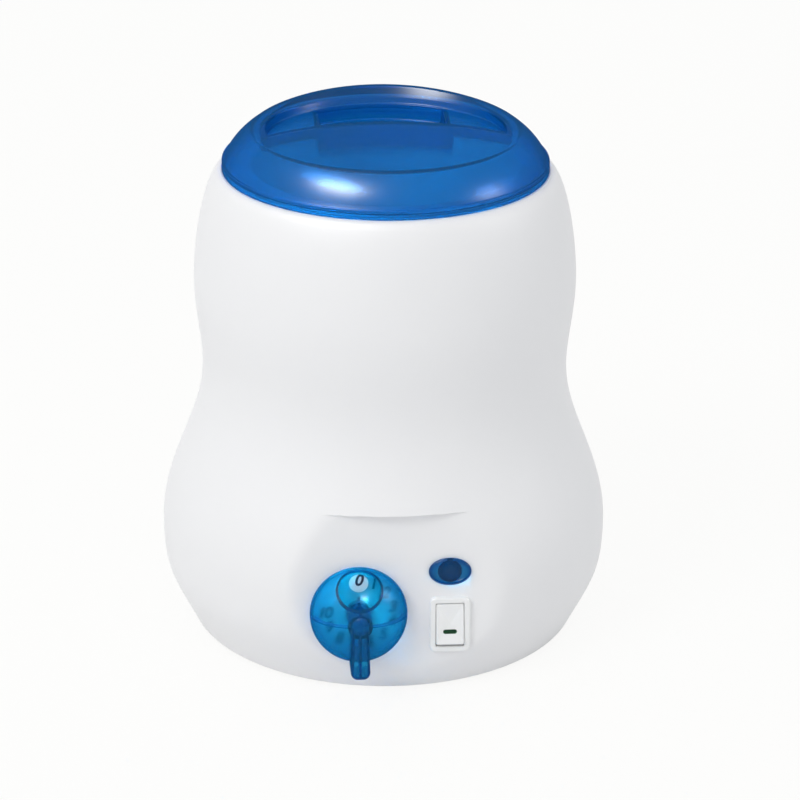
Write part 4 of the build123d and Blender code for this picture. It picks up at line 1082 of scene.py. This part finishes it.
def lid_column(wall, x):
    """Points from front to back over the top: the lip, the grip, the hollow and the crest behind it."""
    inner = wall > 0
    crest = lid_top - wall
    floor = crest - hollow_depth
    hollow = hollow_reach + wall
    grip = grip_half + wall
    side = abs(x)
    back_y = sqrt((top_reach - 0.5 * wall) ** 2 - x * x)
    front_y = -back_y
    open_here = side < hollow - 0.02
    half = sqrt(hollow**2 - x * x) if open_here else 0.0
    lip_y = lip_middle - lip_radius + sqrt(lip_radius**2 - x * x) - wall
    lip_y = max(lip_y, -half) if open_here else -0.15
    rear = half if open_here else 0.15
    room = min(1.0, (rear - lip_y) / 2.5)
    depth = smooth(room * 1.3) if open_here else 0.0
    deep = 1.0 - smooth((side - grip + 0.45) / 0.9)
    base = floor * (1 - deep) + (crest - grip_depth) * deep

    def top(y):
        return crest + (0 if inner else crest_rise(y))

    def sunk(y, height):
        return top(y) + (height - top(y)) * depth

    def out_to(reach, y_hint):
        return sqrt(max(reach * reach - x * x, 0.0)) if side < reach else y_hint

    column = []
    for step in range(1, 23):
        y = front_y + (lip_y - 0.9 * room - front_y) * step / 22
        column.append((y, top(y)))
    for offset, share in ((-0.55, 0.0), (-0.28, 0.06), (-0.1, 0.2), (0.0, 0.5)):
        y = lip_y + offset * room
        column.append((y, top(y) - share * depth))
    for offset, height in ((0.04, 0.75), (0.08, 0.35), (0.2, 0.12), (0.45, 0.0)):
        y = lip_y + offset * room
        column.append((y, sunk(y, base + height)))
    grip_rear = out_to(hollow - 1.0, rear - 1.0 * room) if side < grip + 2 else rear - 1.0 * room
    grip_rear = max(grip_rear, lip_y + 0.5 * room)
    start, end = lip_y + 0.45 * room, grip_rear - 0.4 * room
    for step in range(1, 15):
        y = start + (end - start) * step / 15
        column.append((y, sunk(y, base)))
    for offset, up in ((-0.4, 0.0), (-0.12, 0.1), (0.0, 0.4)):
        column.append((grip_rear + offset * room, sunk(grip_rear, base + up)))
    for offset, down in ((0.02, 0.35), (0.12, 0.1), (0.3, 0.02)):
        y = grip_rear + offset * room
        column.append((y, sunk(y, max(floor - down, base))))
    widen = smooth((rear - 14.0) / 20.0) if open_here else 0.0
    step_reach = hollow + 0.12 + 0.5 * widen
    step_up = 2.2 * widen + (hollow_depth - 0.5) * (1 - widen)
    edge_reach = hollow + 0.3 + ((0.9 if inner else 3.0) - 0.3) * widen
    wall_rows = (
        (hollow - 0.3, 0.02),
        (hollow - 0.04, 0.16),
        (hollow + 0.03, 0.45),
        (step_reach - 0.02, step_up - 0.25),
        (step_reach + 0.12 * (0.3 + widen), step_up + 0.06),
    )
    for reach, up in wall_rows:
        y = max(out_to(reach, rear), grip_rear + 0.32 * room) if open_here else rear
        column.append((y, sunk(y, floor + up)))
    edge_y = out_to(edge_reach, rear) if open_here else rear
    rest = out_to(step_reach + 0.16, rear) if open_here else rear
    start_up = floor + step_up + 0.12
    for share in (0.3, 0.6, 0.88):
        y = rest + (edge_y - rest) * share
        column.append((y, sunk(y, start_up + (top(edge_y) - 0.15 - start_up) * share)))
    for offset, down in ((0.05, 0.1), (0.22, 0.02)):
        y = edge_y + offset * room
        column.append((y, top(y) - down * depth))
    start = edge_y + 0.4 * room
    for step in range(3):
        y = start + (back_y - start) * step / 3
        column.append((y, top(y)))
    return [(x, y, z) for y, z in column]


def lid_mesh():
    """The lid's upper skin and its underside, each of rings and columns, joined at the rim's foot."""
    points = []
    faces = []
    rims = []
    for wall in (0.0, lid_wall):
        across_top = lid_spread(wall)
        turns = [asin(max(-1.0, min(1.0, x / across_top[-1]))) for x in across_top]
        around = [(sin(turn), -cos(turn)) for turn in turns]
        around += [(sin(turn), cos(turn)) for turn in turns[-2:0:-1]]
        rings = lid_flank(wall, around)
        columns = [lid_column(wall, x) for x in across_top[1:-1]]
        count = len(rings[0])
        first = len(points)
        points += [point for ring in rings for point in ring]
        rims.append(range(first, first + count))
        for row in range(len(rings) - 1):
            for step in range(count):
                after = (step + 1) % count
                low, high = first + row * count, first + (row + 1) * count
                faces.append((low + step, low + after, high + after, high + step))
        last = first + (len(rings) - 1) * count
        half = len(columns) + 1
        rows = len(columns[0])
        lines = [[last] * (rows + 2)]
        for number, column in enumerate(columns, 1):
            start = len(points)
            points += column
            lines.append([last + number, *range(start, start + rows), last + count - number])
        lines.append([last + half] * (rows + 2))
        for left, right in zip(lines, lines[1:]):
            for row in range(rows + 1):
                corners = (left[row], right[row], right[row + 1], left[row + 1])
                face = tuple(dict.fromkeys(corners))
                if len(face) > 2:
                    faces.append(face)
    outer, inner = rims
    count = len(outer)
    for step in range(count):
        after = (step + 1) % count
        faces.append((outer[step], outer[after], inner[after], inner[step]))
    return mesh_of("lid_shape", points, faces)


piece_of("blue_lid", lid_mesh(), lid_blue, "lid", ["lid"], angle=60)
